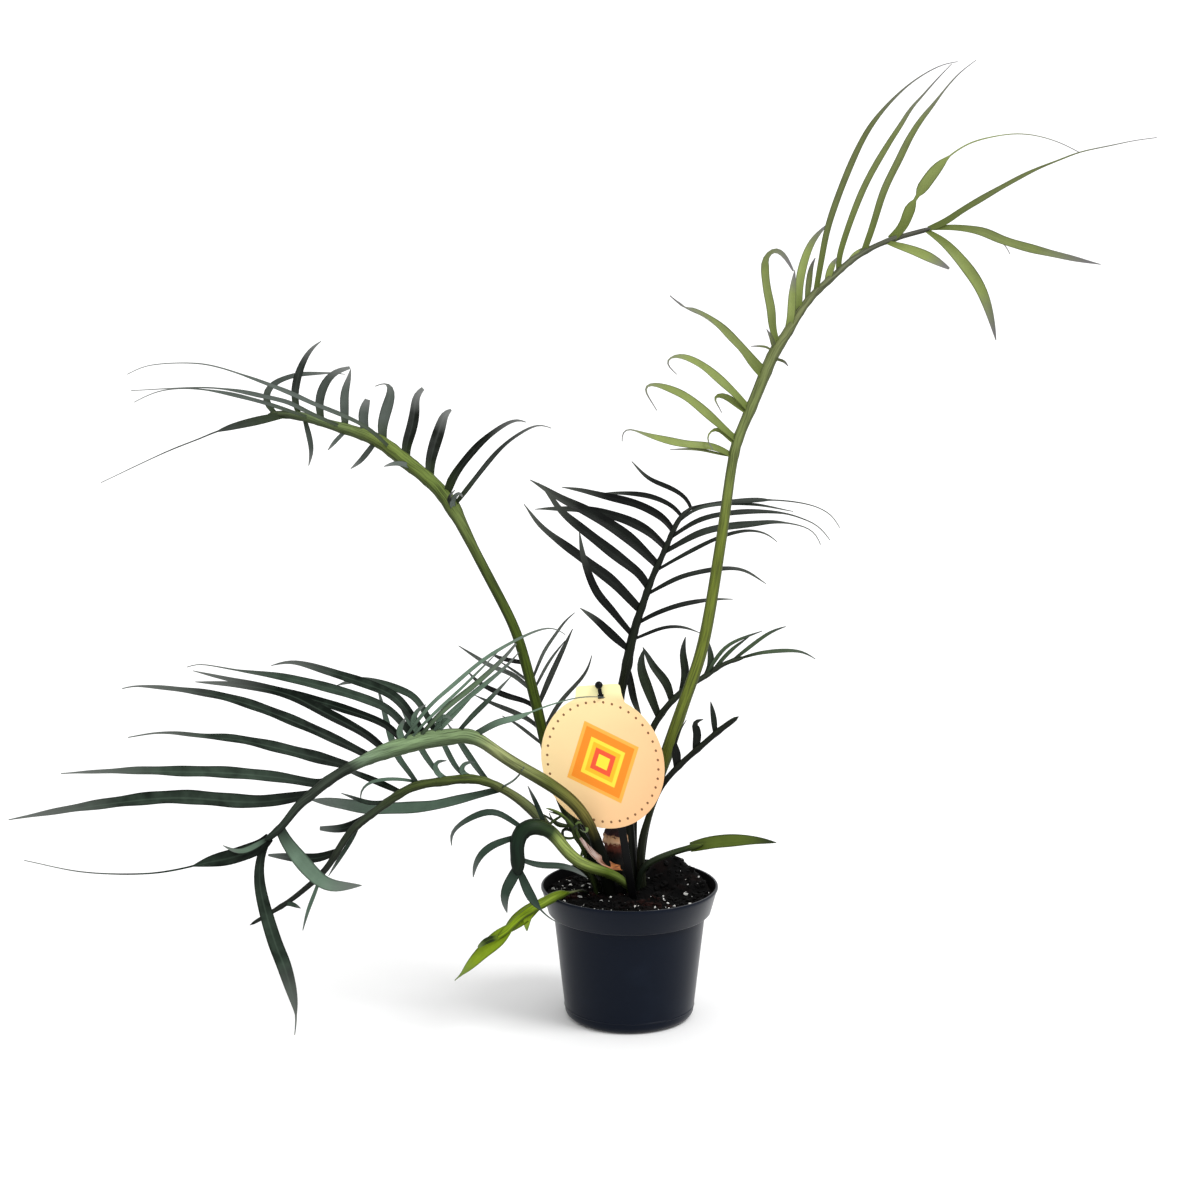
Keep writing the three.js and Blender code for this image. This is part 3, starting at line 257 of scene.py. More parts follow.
@dataclass(frozen=True)
class LeafSkin:
    """Living leaf tissue: a waxy, leathery upper side, a duller lower side and a round green stalk.

    Attributes:
        name: What the material is called.
        stalk: Colours of the stalk, each with the share of its length where it is fully there; its nearly
            black foot is painted shade near the soil.
        root: Colour of a leaflet where it leaves the stalk.
        deep: Colour of a leaflet's upper side in its darkest leaflets.
        pale: Colour of a leaflet's upper side in its palest leaflets.
        under: Colour of a leaflet's lower side.
        edge: Colour of a leaflet's margin, and of the stalk's streaks and the painted shade on its flanks.
        tip: Colour toward the thin tip, mostly a painted grey sheen.
        rib: How clearly a leaflet's midrib shows, from 0 to 1.
        gloss: How strongly the wax mirrors, as the shader's specular level.
        roughness: How dull the wax is.
    """

    name: str
    stalk: tuple[tuple[float, str], ...]
    root: str
    deep: str
    pale: str
    under: str
    edge: str
    tip: str
    rib: float = 0.12
    gloss: float = 0.1
    roughness: float = 0.4

    def blade(self, side: Side) -> Material:
        """Makes one side's skin: mottled, darker at the root and margin, with a painted sheen toward the tip.

        Args:
            side: The upper or the lower side.

        Returns:
            The material.
        """
        upper = side is Side.UPPER
        material, tree, shader = new_material(f"{self.name}_leaf_{side.name.lower()}")
        outward, along, size = leaf_places(tree)
        spot = add_node(tree, "TexCoord")
        tone = add_node(tree, "Attribute", {"attribute_name": "tone"})
        # Clouds of colour about 9 mm across: partly the mottling of real leaves, partly a painted grey-green
        # sheen
        cloud = add_node(tree, "TexNoise", None, {
            "Vector": spot.outputs["Object"], "Scale": 1 / (9 * MM), "Detail": 2.0,
        })
        drift = add_node(tree, "Math", {"operation": "MULTIPLY_ADD"}, {
            0: cloud.outputs["Fac"], 1: 0.4, 2: -0.2,
        })
        shade = add_node(tree, "Math", {"operation": "ADD", "use_clamp": True}, {
            0: tone.outputs["Fac"], 1: drift.outputs[0],
        })
        # The margin is dark, the midrib a pale line, the root has a colour of its own, and the tip takes a
        # painted sheen
        colour = washed(tree, linear(self.deep if upper else self.under), [
            (shade.outputs[0], 0.0, 1.0, 1.0, self.pale if upper else self.under),
            (outward, 0.36, 0.5, 0.75, self.edge),
            (outward, 0.08, 0.03, self.rib, self.pale),
            (along, 0.3, 0.0, 0.85, self.root),
            (along, 0.62, 0.92, 0.9, self.tip),
        ])
        # Side veins run forward from the midrib, 1.6 mm apart, and raise the skin a little between them
        turned = add_node(tree, "Mapping", None, {
            "Vector": size, "Rotation": (0.0, 0.0, math.radians(52)),
        })
        veins = add_node(tree, "TexWave", {"bands_direction": "Y"}, {
            "Vector": turned.outputs[0], "Scale": 0.31 / 1.6, "Distortion": 1.2, "Detail": 1.0,
        })
        # Fine leathery grain, 0.7 mm across, drawn coarse enough to catch the light
        grain = add_node(tree, "TexNoise", None, {
            "Vector": spot.outputs["Object"], "Scale": 1 / (0.7 * MM), "Detail": 1.0,
        })
        relief = add_node(tree, "Math", {"operation": "MULTIPLY_ADD"}, {
            0: veins.outputs["Fac"], 1: 0.6, 2: grain.outputs["Fac"],
        })
        dull = add_node(tree, "MapRange", None, {
            "Value": cloud.outputs["Fac"], "To Min": self.roughness - ROUGHNESS_DRIFT,
            "To Max": self.roughness + (0.1 if upper else 0.25),
        })
        dress(tree, shader, colour, relief.outputs[0], (0.16, 0.2), {
            "Roughness": dull.outputs[0], "Specular IOR Level": self.gloss,
        })
        return material

    def stem(self) -> Material:
        """Makes the stalk's skin: streaked lengthwise, of another colour from foot to tip, and with painted
        shade on its flanks.

        Returns:
            The material.
        """
        material, tree, shader = new_material(f"{self.name}_stalk")
        outward, along, size = leaf_places(tree)
        # Streaks about 1 mm wide and 25 mm long
        stretched = add_node(tree, "Mapping", None, {"Vector": size, "Scale": (1.0, 1 / 25, 1.0)})
        streak = add_node(tree, "TexNoise", None, {
            "Vector": stretched.outputs[0], "Scale": 1.0, "Detail": 3.0,
        })
        # Painted shade: the flanks are darker than the channelled front and the keeled back
        colour = washed(tree, ramp(tree, along, self.stalk).outputs[0], [
            (streak.outputs["Fac"], 0.44, 0.66, 0.6, self.edge),
            (outward, 0.22, 0.48, 0.7, self.edge),
        ])
        dress(tree, shader, colour, streak.outputs["Fac"], (0.2, 0.3), {
            "Roughness": self.roughness + 0.08, "Specular IOR Level": self.gloss,
        })
        return material

    def materials(self) -> list[Material]:
        """Makes the stalk's, upper and lower skins, in the order of their slots.

        Returns:
            The three materials.
        """
        return [self.stem(), self.blade(Side.UPPER), self.blade(Side.LOWER)]


@dataclass(frozen=True)
class Mottled:
    """A plain matt or satin material with clouds of a second colour and a fine grain.

    Attributes:
        name: What the material is called.
        base: Main colour.
        cloud: Colour of the clouds.
        cloud_mm: Width of a cloud.
        grain_mm: Width of a grain of the surface.
        relief_mm: Height of the grain.
        roughness: Mean roughness.
        gloss: The shader's specular level.
        share: How much of the surface the clouds take, from 0 to 1.
        sheen: How much fine dust brightens what is seen edge-on.
    """

    name: str
    base: str
    cloud: str
    cloud_mm: float
    grain_mm: float
    relief_mm: float
    roughness: float
    gloss: float = 0.5
    share: float = 0.5
    sheen: float = 0.0

    def material(self) -> Material:
        """Makes the material on Object coordinates.

        Returns:
            The material.
        """
        made, tree, shader = new_material(self.name)
        spot = add_node(tree, "TexCoord")
        cloud, grain = [
            add_node(tree, "TexNoise", None, {
                "Vector": spot.outputs["Object"], "Scale": 1 / (width * MM), "Detail": detail,
            })
            for width, detail in ((self.cloud_mm, 4.0), (self.grain_mm, 2.0))
        ]
        start = 0.8 - 0.5 * self.share
        clouds = (cloud.outputs["Fac"], start, start + 0.15, 1.0, self.cloud)
        colour = washed(tree, linear(self.base), [clouds])
        dull = add_node(tree, "MapRange", None, {
            "Value": cloud.outputs["Fac"], "To Min": self.roughness - ROUGHNESS_DRIFT,
            "To Max": self.roughness + ROUGHNESS_DRIFT,
        })
        dress(tree, shader, colour, grain.outputs["Fac"], (0.6, self.relief_mm), {
            "Roughness": dull.outputs[0], "Specular IOR Level": self.gloss,
            "Sheen Weight": self.sheen, "Sheen Roughness": 0.4,
        })
        return made


@dataclass(frozen=True)
class Corky:
    """Old stem skin: nearly black cork, with a pale fresh ring between red-brown ones near the top.

    Attributes:
        name: What the material is called.
        bands: Colours up the stem, each with the height over the floor in mm where it is fully there.
    """

    REACH = 140.0

    name: str
    bands: tuple[tuple[float, str], ...]

    def material(self) -> Material:
        """Makes the skin on Object coordinates.

        Returns:
            The material.
        """
        made, tree, shader = new_material(self.name)
        spot = add_node(tree, "TexCoord")
        axes = add_node(tree, "SeparateXYZ", None, {0: spot.outputs["Object"]})
        # Lumps of cork about 3 mm across, which also make the rings uneven
        lumps = add_node(tree, "TexNoise", None, {
            "Vector": spot.outputs["Object"], "Scale": 1 / (3 * MM), "Detail": 3.0,
        })
        height = add_node(tree, "Math", {"operation": "MULTIPLY_ADD"}, {
            0: lumps.outputs["Fac"], 1: 7 * MM, 2: axes.outputs[2],
        })
        share = add_node(tree, "Math", {"operation": "DIVIDE"}, {
            0: height.outputs[0], 1: self.REACH * MM,
        })
        skin = ramp(tree, share.outputs[0], [(level / self.REACH, colour) for level, colour in self.bands])
        dress(tree, shader, skin.outputs[0], lumps.outputs["Fac"], (0.8, 0.5), {
            "Roughness": 0.75, "Specular IOR Level": 0.2,
        })
        return made


@dataclass(frozen=True)
class Papery:
    """A dry sheath: dead fibrous tissue, orange-brown at its foot and bleached toward its tip.

    Attributes:
        name: What the material is called.
        foot: Colour at the foot.
        tip: Colour at the tip.
        fibre: Colour of the fibres.
    """

    name: str
    foot: str
    tip: str
    fibre: str

    def material(self) -> Material:
        """Makes the dry tissue on the piece's own UV maps.

        Returns:
            The material.
        """
        made, tree, shader = new_material(self.name)
        _, along, size = leaf_places(tree)
        # Fibres 0.6 mm wide and 12 mm long
        stretched = add_node(tree, "Mapping", None, {
            "Vector": size, "Scale": (1 / 0.6, 1 / 12, 1.0),
        })
        fibres = add_node(tree, "TexNoise", None, {
            "Vector": stretched.outputs[0], "Scale": 1.0, "Detail": 2.0,
        })
        colour = washed(tree, linear(self.foot), [
            (along, 0.2, 0.6, 1.0, self.tip),
            (fibres.outputs["Fac"], 0.42, 0.62, 1.0, self.fibre),
        ])
        dress(tree, shader, colour, fibres.outputs["Fac"], (0.7, 0.3), {
            "Roughness": 0.8, "Specular IOR Level": 0.25,
        })
        return made


@dataclass(frozen=True)
class PrintedCard:
    """Matt coated card, printed in warm inks with a plain nested lozenge inside a border of dots.

    Attributes:
        middle: The oval's middle, in metres.
        lean: How far the card leans to the left, in radians.
        turn: How far the oval leans past the card, in radians.
        half_width: Half the oval's width.
        half_height: Half the oval's height.
    """

    # Half the lozenge's width and height, in mm
    LOZENGE = (26.0, 31.0)
    # The dots' number, where their row runs as a share of the oval, and their radius in mm
    DOT_COUNT = 40
    DOT_ROW = 0.9
    DOT_RADIUS = 0.85

    middle: Vector
    lean: float
    turn: float
    half_width: float
    half_height: float

    def _ground(self, tree: Tree, right: Socket, up: Socket) -> Socket:
        """Adds the wash, from pale yellow at the upper left to peach at the foot, paler on the tab.

        Args:
            tree: The material's node tree.
            right: How far right of the oval's middle a place is, in mm.
            up: How far above it.

        Returns:
            The colour.
        """
        slope = add_node(tree, "Math", {"operation": "SUBTRACT"}, {0: right, 1: up})
        rise = add_node(tree, "Math", {"operation": "MULTIPLY_ADD"}, {
            0: right, 1: math.tan(self.turn), 2: up,
        })
        return washed(tree, linear("F8DCA2"), [
            (slope.outputs[0], -55.0, 55.0, 1.0, "F4BF8C"), (rise.outputs[0], 44.0, 50.0, 1.0, "F6EEB4"),
        ])

    def _lozenge(self, tree: Tree, right: Socket, up: Socket) -> tuple[Socket, Socket]:
        """Adds the nested lozenge.

        Args:
            tree: The material's node tree.
            right: How far right of the oval's middle a place is, in mm.
            up: How far above it.

        Returns:
            Its bands of ink, and where they are printed.
        """
        reach_x = add_node(tree, "Math", {"operation": "ABSOLUTE"}, {0: right})
        reach_z = add_node(tree, "Math", {"operation": "ABSOLUTE"}, {0: up})
        part_x = add_node(tree, "Math", {"operation": "DIVIDE"}, {
            0: reach_x.outputs[0], 1: self.LOZENGE[0],
        })
        depth = add_node(tree, "Math", {"operation": "MULTIPLY_ADD"}, {
            0: reach_z.outputs[0], 1: 1 / self.LOZENGE[1], 2: part_x.outputs[0],
        })
        bands = ramp(tree, depth.outputs[0], (
            (0.0, "F4E03A"), (0.2, "EC5330"), (0.36, "F9B821"), (0.5, "F6DD3E"), (0.62, "F28A1B"),
            (0.88, "F6AE45"),
        ))
        bands.color_ramp.interpolation = "CONSTANT"
        inside = add_node(tree, "Math", {"operation": "LESS_THAN"}, {0: depth.outputs[0], 1: 1.0})
        return bands.outputs[0], inside.outputs[0]

    def _dots(self, tree: Tree, right: Socket, up: Socket) -> Socket:
        """Adds the border of dots that runs just inside the oval's edge.

        Args:
            tree: The material's node tree.
            right: How far right of the oval's middle a place is, in mm.
            up: How far above it.

        Returns:
            Where the dots are.
        """
        part_x = add_node(tree, "Math", {"operation": "DIVIDE"}, {0: right, 1: self.half_width})
        part_z = add_node(tree, "Math", {"operation": "DIVIDE"}, {0: up, 1: self.half_height})
        flat = add_node(tree, "CombineXYZ", None, {0: part_x.outputs[0], 1: part_z.outputs[0]})
        out = add_node(tree, "VectorMath", {"operation": "LENGTH"}, {0: flat.outputs[0]})
        angle = add_node(tree, "Math", {"operation": "ARCTAN2"}, {
            0: part_x.outputs[0], 1: part_z.outputs[0],
        })
        count = add_node(tree, "Math", {"operation": "MULTIPLY"}, {
            0: angle.outputs[0], 1: self.DOT_COUNT / (2 * math.pi),
        })
        phase = add_node(tree, "Math", {"operation": "PINGPONG"}, {0: count.outputs[0], 1: 0.5})
        mean = (self.half_width + self.half_height) / 2
        along = add_node(tree, "Math", {"operation": "MULTIPLY"}, {
            0: phase.outputs[0], 1: self.DOT_ROW * mean * 2 * math.pi / self.DOT_COUNT,
        })
        across = add_node(tree, "Math", {"operation": "MULTIPLY_ADD"}, {
            0: out.outputs["Value"], 1: mean, 2: -self.DOT_ROW * mean,
        })
        offset = add_node(tree, "CombineXYZ", None, {0: along.outputs[0], 1: across.outputs[0]})
        away = add_node(tree, "VectorMath", {"operation": "LENGTH"}, {0: offset.outputs[0]})
        dots = add_node(tree, "Math", {"operation": "LESS_THAN"}, {
            0: away.outputs["Value"], 1: self.DOT_RADIUS,
        })
        return dots.outputs[0]

    def material(self) -> Material:
        """Makes the printed card. Its print stands on Object coordinates, in millimetres of the card.

        Returns:
            The material.
        """
        made, tree, shader = new_material("printed_coated_card")
        spot = add_node(tree, "TexCoord")
        flat = add_node(tree, "Mapping", {"vector_type": "TEXTURE"}, {
            "Vector": spot.outputs["Object"], "Location": self.middle, "Scale": (MM, MM, MM),
            "Rotation": (0.0, -self.lean - self.turn, 0.0),
        })
        axes = add_node(tree, "SeparateXYZ", None, {0: flat.outputs[0]})
        right, up = axes.outputs[0], axes.outputs[2]
        bands, inside = self._lozenge(tree, right, up)
        printed = add_node(tree, "Mix", {"data_type": "RGBA"}, {
            0: inside, 6: self._ground(tree, right, up), 7: bands,
        })
        marked = washed(tree, printed.outputs[2], [(self._dots(tree, right, up), 0.0, 1.0, 1.0, "7A5230")])
        # Paper fibres, 0.5 mm across
        fibres = add_node(tree, "TexNoise", None, {
            "Vector": spot.outputs["Object"], "Scale": 1 / (0.5 * MM), "Detail": 2.0,
        })
        dress(tree, shader, marked, fibres.outputs["Fac"], (0.2, 0.05), {
            "Roughness": 0.6, "Specular IOR Level": 0.3,
        })
        return made


# Living leaves: waxy cuticle over thick tissue, satin above and duller below. One skin for each leaf,
# because they differ from nearly black through blue-green to olive and lime.
# The nearly black stretch at the foot of each stalk is painted shade near the soil
TALL_SKIN = LeafSkin(
    "olive", stalk=(
        (0.08, "0C0F08"), (0.14, "20280F"), (0.18, "545E20"), (0.25, "6B772C"), (0.46, "6B772C"),
        (0.59, "74804A"), (0.77, "70764C"), (0.91, "5E6250"), (1.0, "4C4A46"),
    ),
    root="55622A", deep="424434", pale="828F50",
    under="838A62", edge="24281A", tip="6A676C", rib=0.25,
)
UPPER_LEFT_SKIN = LeafSkin(
    "green", stalk=(
        (0.06, "0E120A"), (0.13, "202A10"), (0.25, "3A4A14"), (0.42, "44541A"), (0.53, "4A5828"),
        (0.61, "667440"), (0.66, "66783A"), (0.79, "70803E"), (0.91, "6A7A52"), (1.0, "3C4430"),
    ),
    root="2E3A1E", deep="10140F", pale="5A625C",
    under="3A4534", edge="0A0D09", tip="6E706E", gloss=0.06,
)
MIDDLE_SKIN = LeafSkin(
    "dark_midrib", stalk=((0.06, "0E110A"), (0.59, "161C10"), (0.91, "1C211A"), (1.0, "2C302A")),
    root="0A0C09", deep="060807", pale="363E36",
    under="161B17", edge="040504", tip="484C46",
)
LOW_LEFT_SKIN = LeafSkin(
    "blue_green", stalk=(
        (0.1, "0A0C07"), (0.14, "0E1008"), (0.2, "6A6430"), (0.29, "5C6430"), (0.41, "98A06C"),
        (0.46, "74885E"), (0.63, "7A926A"), (0.72, "6E8268"), (0.75, "2C342A"), (0.85, "343C32"),
        (1.0, "1E2820"),
    ),
    root="080A08", deep="0A120C", pale="647A68",
    under="54664E", edge="060806", tip="5E625E", gloss=0.06,
)
BEHIND_LEFT_SKIN = LeafSkin(
    "black_green", stalk=((0.11, "0E0F0B"), (0.63, "12150F"), (1.0, "1E221A")),
    root="0A0C09", deep="080A08", pale="5C625C",
    under="151812", edge="050605", tip="444844",
)
ARCH_SKIN = LeafSkin(
    "shaded_green", stalk=(
        (0.05, "20280F"), (0.16, "566034"), (0.2, "60684A"), (0.31, "687040"), (0.39, "505E28"),
        (0.51, "4A5628"), (0.62, "3A4432"), (0.8, "1E221C"), (1.0, "1E221C"),
    ),
    root="0E140C", deep="0B130D", pale="5A7060",
    under="3A4A3A", edge="070907", tip="565C58",
)
HOOKED_SKIN = LeafSkin(
    "thick_green", stalk=(
        (0.0, "20280F"), (0.09, "5E6E38"), (0.18, "5A6A2C"), (0.26, "4E6018"), (0.39, "8A9A50"),
        (0.55, "8C9C54"), (0.61, "2C3C20"), (0.74, "182A18"), (0.84, "14261A"), (1.0, "101A12"),
    ),
    root="101E14", deep="12211A", pale="37483C",
    under="1E2C20", edge="090D0A", tip="5A5E5C",
)
LIME_SKIN = LeafSkin(
    "lime", stalk=(
        (0.0, "14160E"), (0.17, "3C3E36"), (0.29, "8A9066"), (0.36, "5A6E10"), (0.52, "7A9028"),
        (0.72, "7A9418"), (1.0, "7A9418"),
    ),
    root="66800F", deep="1C2A08", pale="8CA622",
    under="6A8020", edge="1C2A10", tip="5E6E40",
)
LANCE_SKIN = LeafSkin(
    "olive_dark", stalk=(
        (0.0, "0A0C0A"), (0.33, "1E261E"), (0.58, "36402C"), (0.78, "2C3A20"), (1.0, "4E5E20"),
    ),
    root="3A4618", deep="2E3A12", pale="62722A",
    under="4A5628", edge="12180A", tip="20281A",
)
SMALL_RIGHT_SKIN = LeafSkin(
    "small_dark", stalk=((0.03, "0E110C"), (0.39, "151912"), (1.0, "1F251B")),
    root="0B0E0A", deep="0A0C0A", pale="2C362A",
    under="181C16", edge="060706", tip="2A2E2A",
)
RIGHT_SKIN = LeafSkin(
    "far_dark", stalk=((0.02, "060805"), (0.47, "1A1F14"), (0.73, "2A3224"), (1.0, "303828")),
    root="0D100B", deep="10140F", pale="46563F",
    under="20261E", edge="070807", tip="383E3A",
)
YOUNG_SKIN = LeafSkin(
    "young_green", stalk=((0.0, "1C2410"), (0.43, "33401C"), (1.0, "5E7438")),
    root="3C4A28", deep="1A2016", pale="6C8248",
    under="3A4530", edge="10140C", tip="4A5246",
)


# Nursery pot: blue-black polypropylene, injection moulded with a fine satin grain
POT_PLASTIC = Mottled("moulded_polypropylene", "040C1A", "07101E", 30.0, 0.6, 0.02, 0.34, 0.09, sheen=0.12)
# Inside the pot above the mix: the same plastic, painted nearly black as the shade inside the pot
POT_INSIDE_SHADE = Mottled("polypropylene_painted_inside_shade", "040405", "0A090A", 9.0, 0.6, 0.05, 0.7, 0.05)
# Potting mix: damp peat, nearly black
PEAT = Mottled("damp_peat", "020202", "0C0605", 14.0, 0.9, 0.8, 0.9, 0.08, 0.6)
# Bark in the mix: black crumbs, red-brown in patches where they have dried
BARK_CRUMB = Mottled("bark_crumbs", "040303", "2E1612", 26.0, 0.5, 0.3, 0.85, 0.1, 0.45)
# Perlite: popped volcanic glass, chalky white and slightly stained
PERLITE = Mottled("perlite", "D2D2CE", "8E8A86", 3.0, 0.4, 0.2, 0.9, 0.3, 0.5)
# Stem: nearly black cork, with a pale fresh ring near its top
STEM_SKIN = Corky("corky_stem", (
    (114.0, "060605"), (118.0, "1E0C08"), (123.5, "5A2618"), (125.0, "D3AC8A"), (128.5, "C79A74"),
    (130.0, "2A0E14"), (134.0, "14080A"),
))
# Dry sheath: papery dead tissue
SHEATH_SKIN = Papery("dry_leaf_sheath", "C67C44", "B4A098", "6A4434")
# Back of the card: bare board, warm and dull
CARD_BACK = Mottled("uncoated_card_back", "E2CCA2", "ECDAB6", 20.0, 0.5, 0.02, 0.8, 0.1)
# Stake: gloss-black polystyrene
STAKE_PLASTIC = Mottled("black_polystyrene", "030304", "070708", 12.0, 0.8, 0.01, 0.35, 0.12)
# Floor: matt paint, nearly white, without a pattern
FLOOR_PAINT = Mottled("painted_floor", "F3F3F3", "F1F1F1", 400.0, 2.0, 0.01, 0.9, 0.1)


def in_space(point: Vector) -> Vector:
    """Finds the place of a point of the sheet.

    Args:
        point: How far right and up it shows on the sheet, and its depth behind the pot's axis, in mm.

    Returns:
        The point in space, in millimetres.
    """
    on_sheet = EYE + SIGHT * SHEET_DISTANCE
    on_sheet.x += point.x - SHEET_CENTRE.x
    on_sheet += SHEET_UP * (point.y - SHEET_CENTRE.y)
    ray = on_sheet - EYE
    return EYE + ray * ((point.z - EYE.y) / ray.y)


class SmoothLine:
    """A centripetal Catmull-Rom line through its points, read by shares of its length."""

    SAMPLES = 240
    LEAST_GAP = 1e-4

    def __init__(self, points: Sequence[Sequence[float]]) -> None:
        """Measures the line.

        Args:
            points: The points that it runs through.
        """
        self._points = [Vector(point) for point in points]
        self._places = [self._between(i / self.SAMPLES) for i in range(self.SAMPLES + 1)]
        self._reached = [0.0]
        for before, after in zip(self._places, self._places[1:]):
            self._reached.append(self._reached[-1] + (after - before).length)

    def _between(self, share: float) -> Vector:
        """Gives a point of the line.

        Args:
            share: A share of the spans, not of the length.

        Returns:
            The point.
        """
        points = self._points
        last = len(points) - 1
        span = min(int(share * last), last - 1)
        weight = share * last - span
        inner = (points[span], points[span + 1])
        before = points[span - 1] if span > 0 else inner[0] * 2 - inner[1]
        after = points[span + 2] if span + 2 <= last else inner[1] * 2 - inner[0]
        gaps = [math.sqrt((b - a).length) for a, b in ((before, inner[0]), inner, (inner[1], after))]
        middle = gaps[1] if gaps[1] > self.LEAST_GAP else 1.0
        first = gaps[0] if gaps[0] > self.LEAST_GAP else middle
        third = gaps[2] if gaps[2] > self.LEAST_GAP else middle
        leave = ((inner[0] - before) / first - (inner[1] - before) / (first + middle)) * middle
        leave += inner[1] - inner[0]
        arrive = ((after - inner[1]) / third - (after - inner[0]) / (middle + third)) * middle
        arrive += inner[1] - inner[0]
        w2 = weight * weight
        w3 = w2 * weight
        return (
            inner[0] * (2 * w3 - 3 * w2 + 1) + leave * (w3 - 2 * w2 + weight)
            + inner[1] * (3 * w2 - 2 * w3) + arrive * (w3 - w2)
        )

    @property
    def length(self) -> float:
        """The line's whole length."""
        return self._reached[-1]

    def at(self, share: float) -> Vector:
        """Finds the point at a share of the length.

        Args:
            share: From 0 at the first point to 1 at the last.

        Returns:
            The point.
        """
        goal = min(max(share, 0.0), 1.0) * self.length
        low, high = 0, self.SAMPLES
        while high - low > 1:
            middle = (low + high) // 2
            if self._reached[middle] <= goal:
                low = middle
            else:
                high = middle
        span = self._reached[high] - self._reached[low]
        part = (goal - self._reached[low]) / span if span > 0 else 0.0
        return self._places[low].lerp(self._places[high], part)


def evened(centres: Sequence[Vector], passes: int) -> list[Vector]:
    """Evens out small kinks of a line, whose ends stay.

    Args:
        centres: The line.
        passes: How often each point moves halfway to the middle of its neighbours.

    Returns:
        The smoother line.
    """
    line = list(centres)
    for _ in range(passes):
        inner = [(a + b * 2 + c) / 4 for a, b, c in zip(line, line[1:], line[2:])]
        line = [line[0], *inner, line[-1]]
    return line


@dataclass(frozen=True)
class Station:
    """One cross-section of a tube: its middle, the two ways it faces, and its half sizes in mm.

    Attributes:
        centre: The middle, in space.
        side: The way across.
        face: The way the upper side faces.
        half_width: Half the size across.
        half_depth: Half the size from the upper to the lower side.
        along: How far along the tube it is, from 0 to 1.
    """

    centre: Vector
    side: Vector
    face: Vector
    half_width: float
    half_depth: float
    along: float


def stations(
    centres: Sequence[Vector],
    section: Callable[[float], Triple],
    bare: int = 0,
) -> list[Station]:
    """Stands a cross-section at each centre, square to the way the line runs.

    Args:
        centres: The tube's middle line, in space.
        section: Turns a share of the length into half-width, half-depth and turn in radians.
        bare: How many centres come before the part that the shares count.

    Returns:
        The stations, in order.
    """
    last = len(centres) - 1
    made = []
    for i, centre in enumerate(centres):
        run = (centres[min(last, i + 1)] - centres[max(0, i - 1)]).normalized()
        share = max(0, i - bare) / (last - bare)
        half_width, half_depth, turn = section(share)
        face = (FACE - run * FACE.dot(run)).normalized()
        face = Matrix.Rotation(turn, 3, run) @ face
        made.append(Station(centre, face.cross(run), face, half_width, half_depth, i / last))
    return made


def roll_tube(
    mesh: Mesh,
    line: Sequence[Station],
    around: int,
    outline: Callable[[float, Station], Pair],
    slots: tuple[int, int],
    tone: float = 0.5,
) -> None:
    """Rolls a grid into a closed tube through the stations, with its UV maps and its tone.

    Args:
        mesh: The mesh that it joins.
        line: The stations.
        around: How many faces go round.
        outline: Turns a share of the way round and a station into the place across and the height
            over the middle, in mm. The upper side is the first half of the way round.
        slots: Material slots of the upper and the lower side.
        tone: How pale the piece is, from 0 to 1, kept in an attribute.
    """
    leaf_map = mesh.loops.layers.uv["leaf"]
    size_map = mesh.loops.layers.uv["size"]
    tones = mesh.verts.layers.float["tone"]
    steps = len(line) - 1
    length = sum((b.centre - a.centre).length for a, b in zip(line, line[1:]))
    verts = bmesh.ops.create_grid(mesh, x_segments=around, y_segments=steps, size=0.5)["verts"]
    faces = {face for vert in verts for face in vert.link_faces}
    for face in faces:
        upper = face.calc_center_median().x < 0
        face.material_index = slots[0] if upper else slots[1]
        for loop in face.loops:
            share = loop.vert.co.x + 0.5
            along = loop.vert.co.y + 0.5
            station = line[round(along * steps)]
            across = math.cos(2 * math.pi * share)
            loop[leaf_map].uv = (across / 2 + 0.5, along)
            loop[size_map].uv = (share * 2 * math.pi * station.half_width, along * length)
    for vert in verts:
        station = line[round((vert.co.y + 0.5) * steps)]
        across, height = outline(vert.co.x + 0.5, station)
        vert.co = (station.centre + station.side * across + station.face * height) * MM
        vert[tones] = tone
    bmesh.ops.remove_doubles(mesh, verts=verts, dist=0.001 * MM)
    open_edges = [edge for edge in mesh.edges if edge.is_boundary]
    bmesh.ops.holes_fill(mesh, edges=open_edges, sides=0)


def new_tube_mesh() -> Mesh:
    """Starts a mesh with the layers that roll_tube fills.

    Returns:
        The empty mesh.
    """
    mesh = bmesh.new()
    mesh.loops.layers.uv.new("leaf")
    mesh.loops.layers.uv.new("size")
    mesh.verts.layers.float.new("tone")
    return mesh


def settle(
    mesh: Mesh, name: str, materials: Sequence[Material], sharp: float = 50.0
) -> Object:
    """Turns a finished mesh into an object at the origin, smooth but for its sharp edges.

    Args:
        mesh: The mesh, which is freed.
        name: The object's name.
        materials: Its materials, in the order of their slots.
        sharp: The angle in degrees past which an edge stays sharp.

    Returns:
        The object.
    """
    bmesh.ops.recalc_face_normals(mesh, faces=mesh.faces)
    for face in mesh.faces:
        face.smooth = True
    data = bpy.data.meshes.new(name)
    mesh.to_mesh(data)
    mesh.free()
    data.set_sharp_from_angle(angle=math.radians(sharp))
    for material in materials:
        data.materials.append(material)
    made = bpy.data.objects.new(name, data)
    bpy.context.scene.collection.objects.link(made)
    return made


def stand_in(piece: Object, slot: str, *nodes: str) -> None:
    """Lets a piece ride on the part in place of its solid, and reports it.

    Args:
        piece: The finished piece.
        slot: The record's material slot. Not used.
        nodes: The solids that it stands for.
    """
    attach(piece, ROOT)
    if nodes:
        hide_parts(*nodes)
    LOG.info("%s: %d faces", piece.name, len(piece.data.polygons))


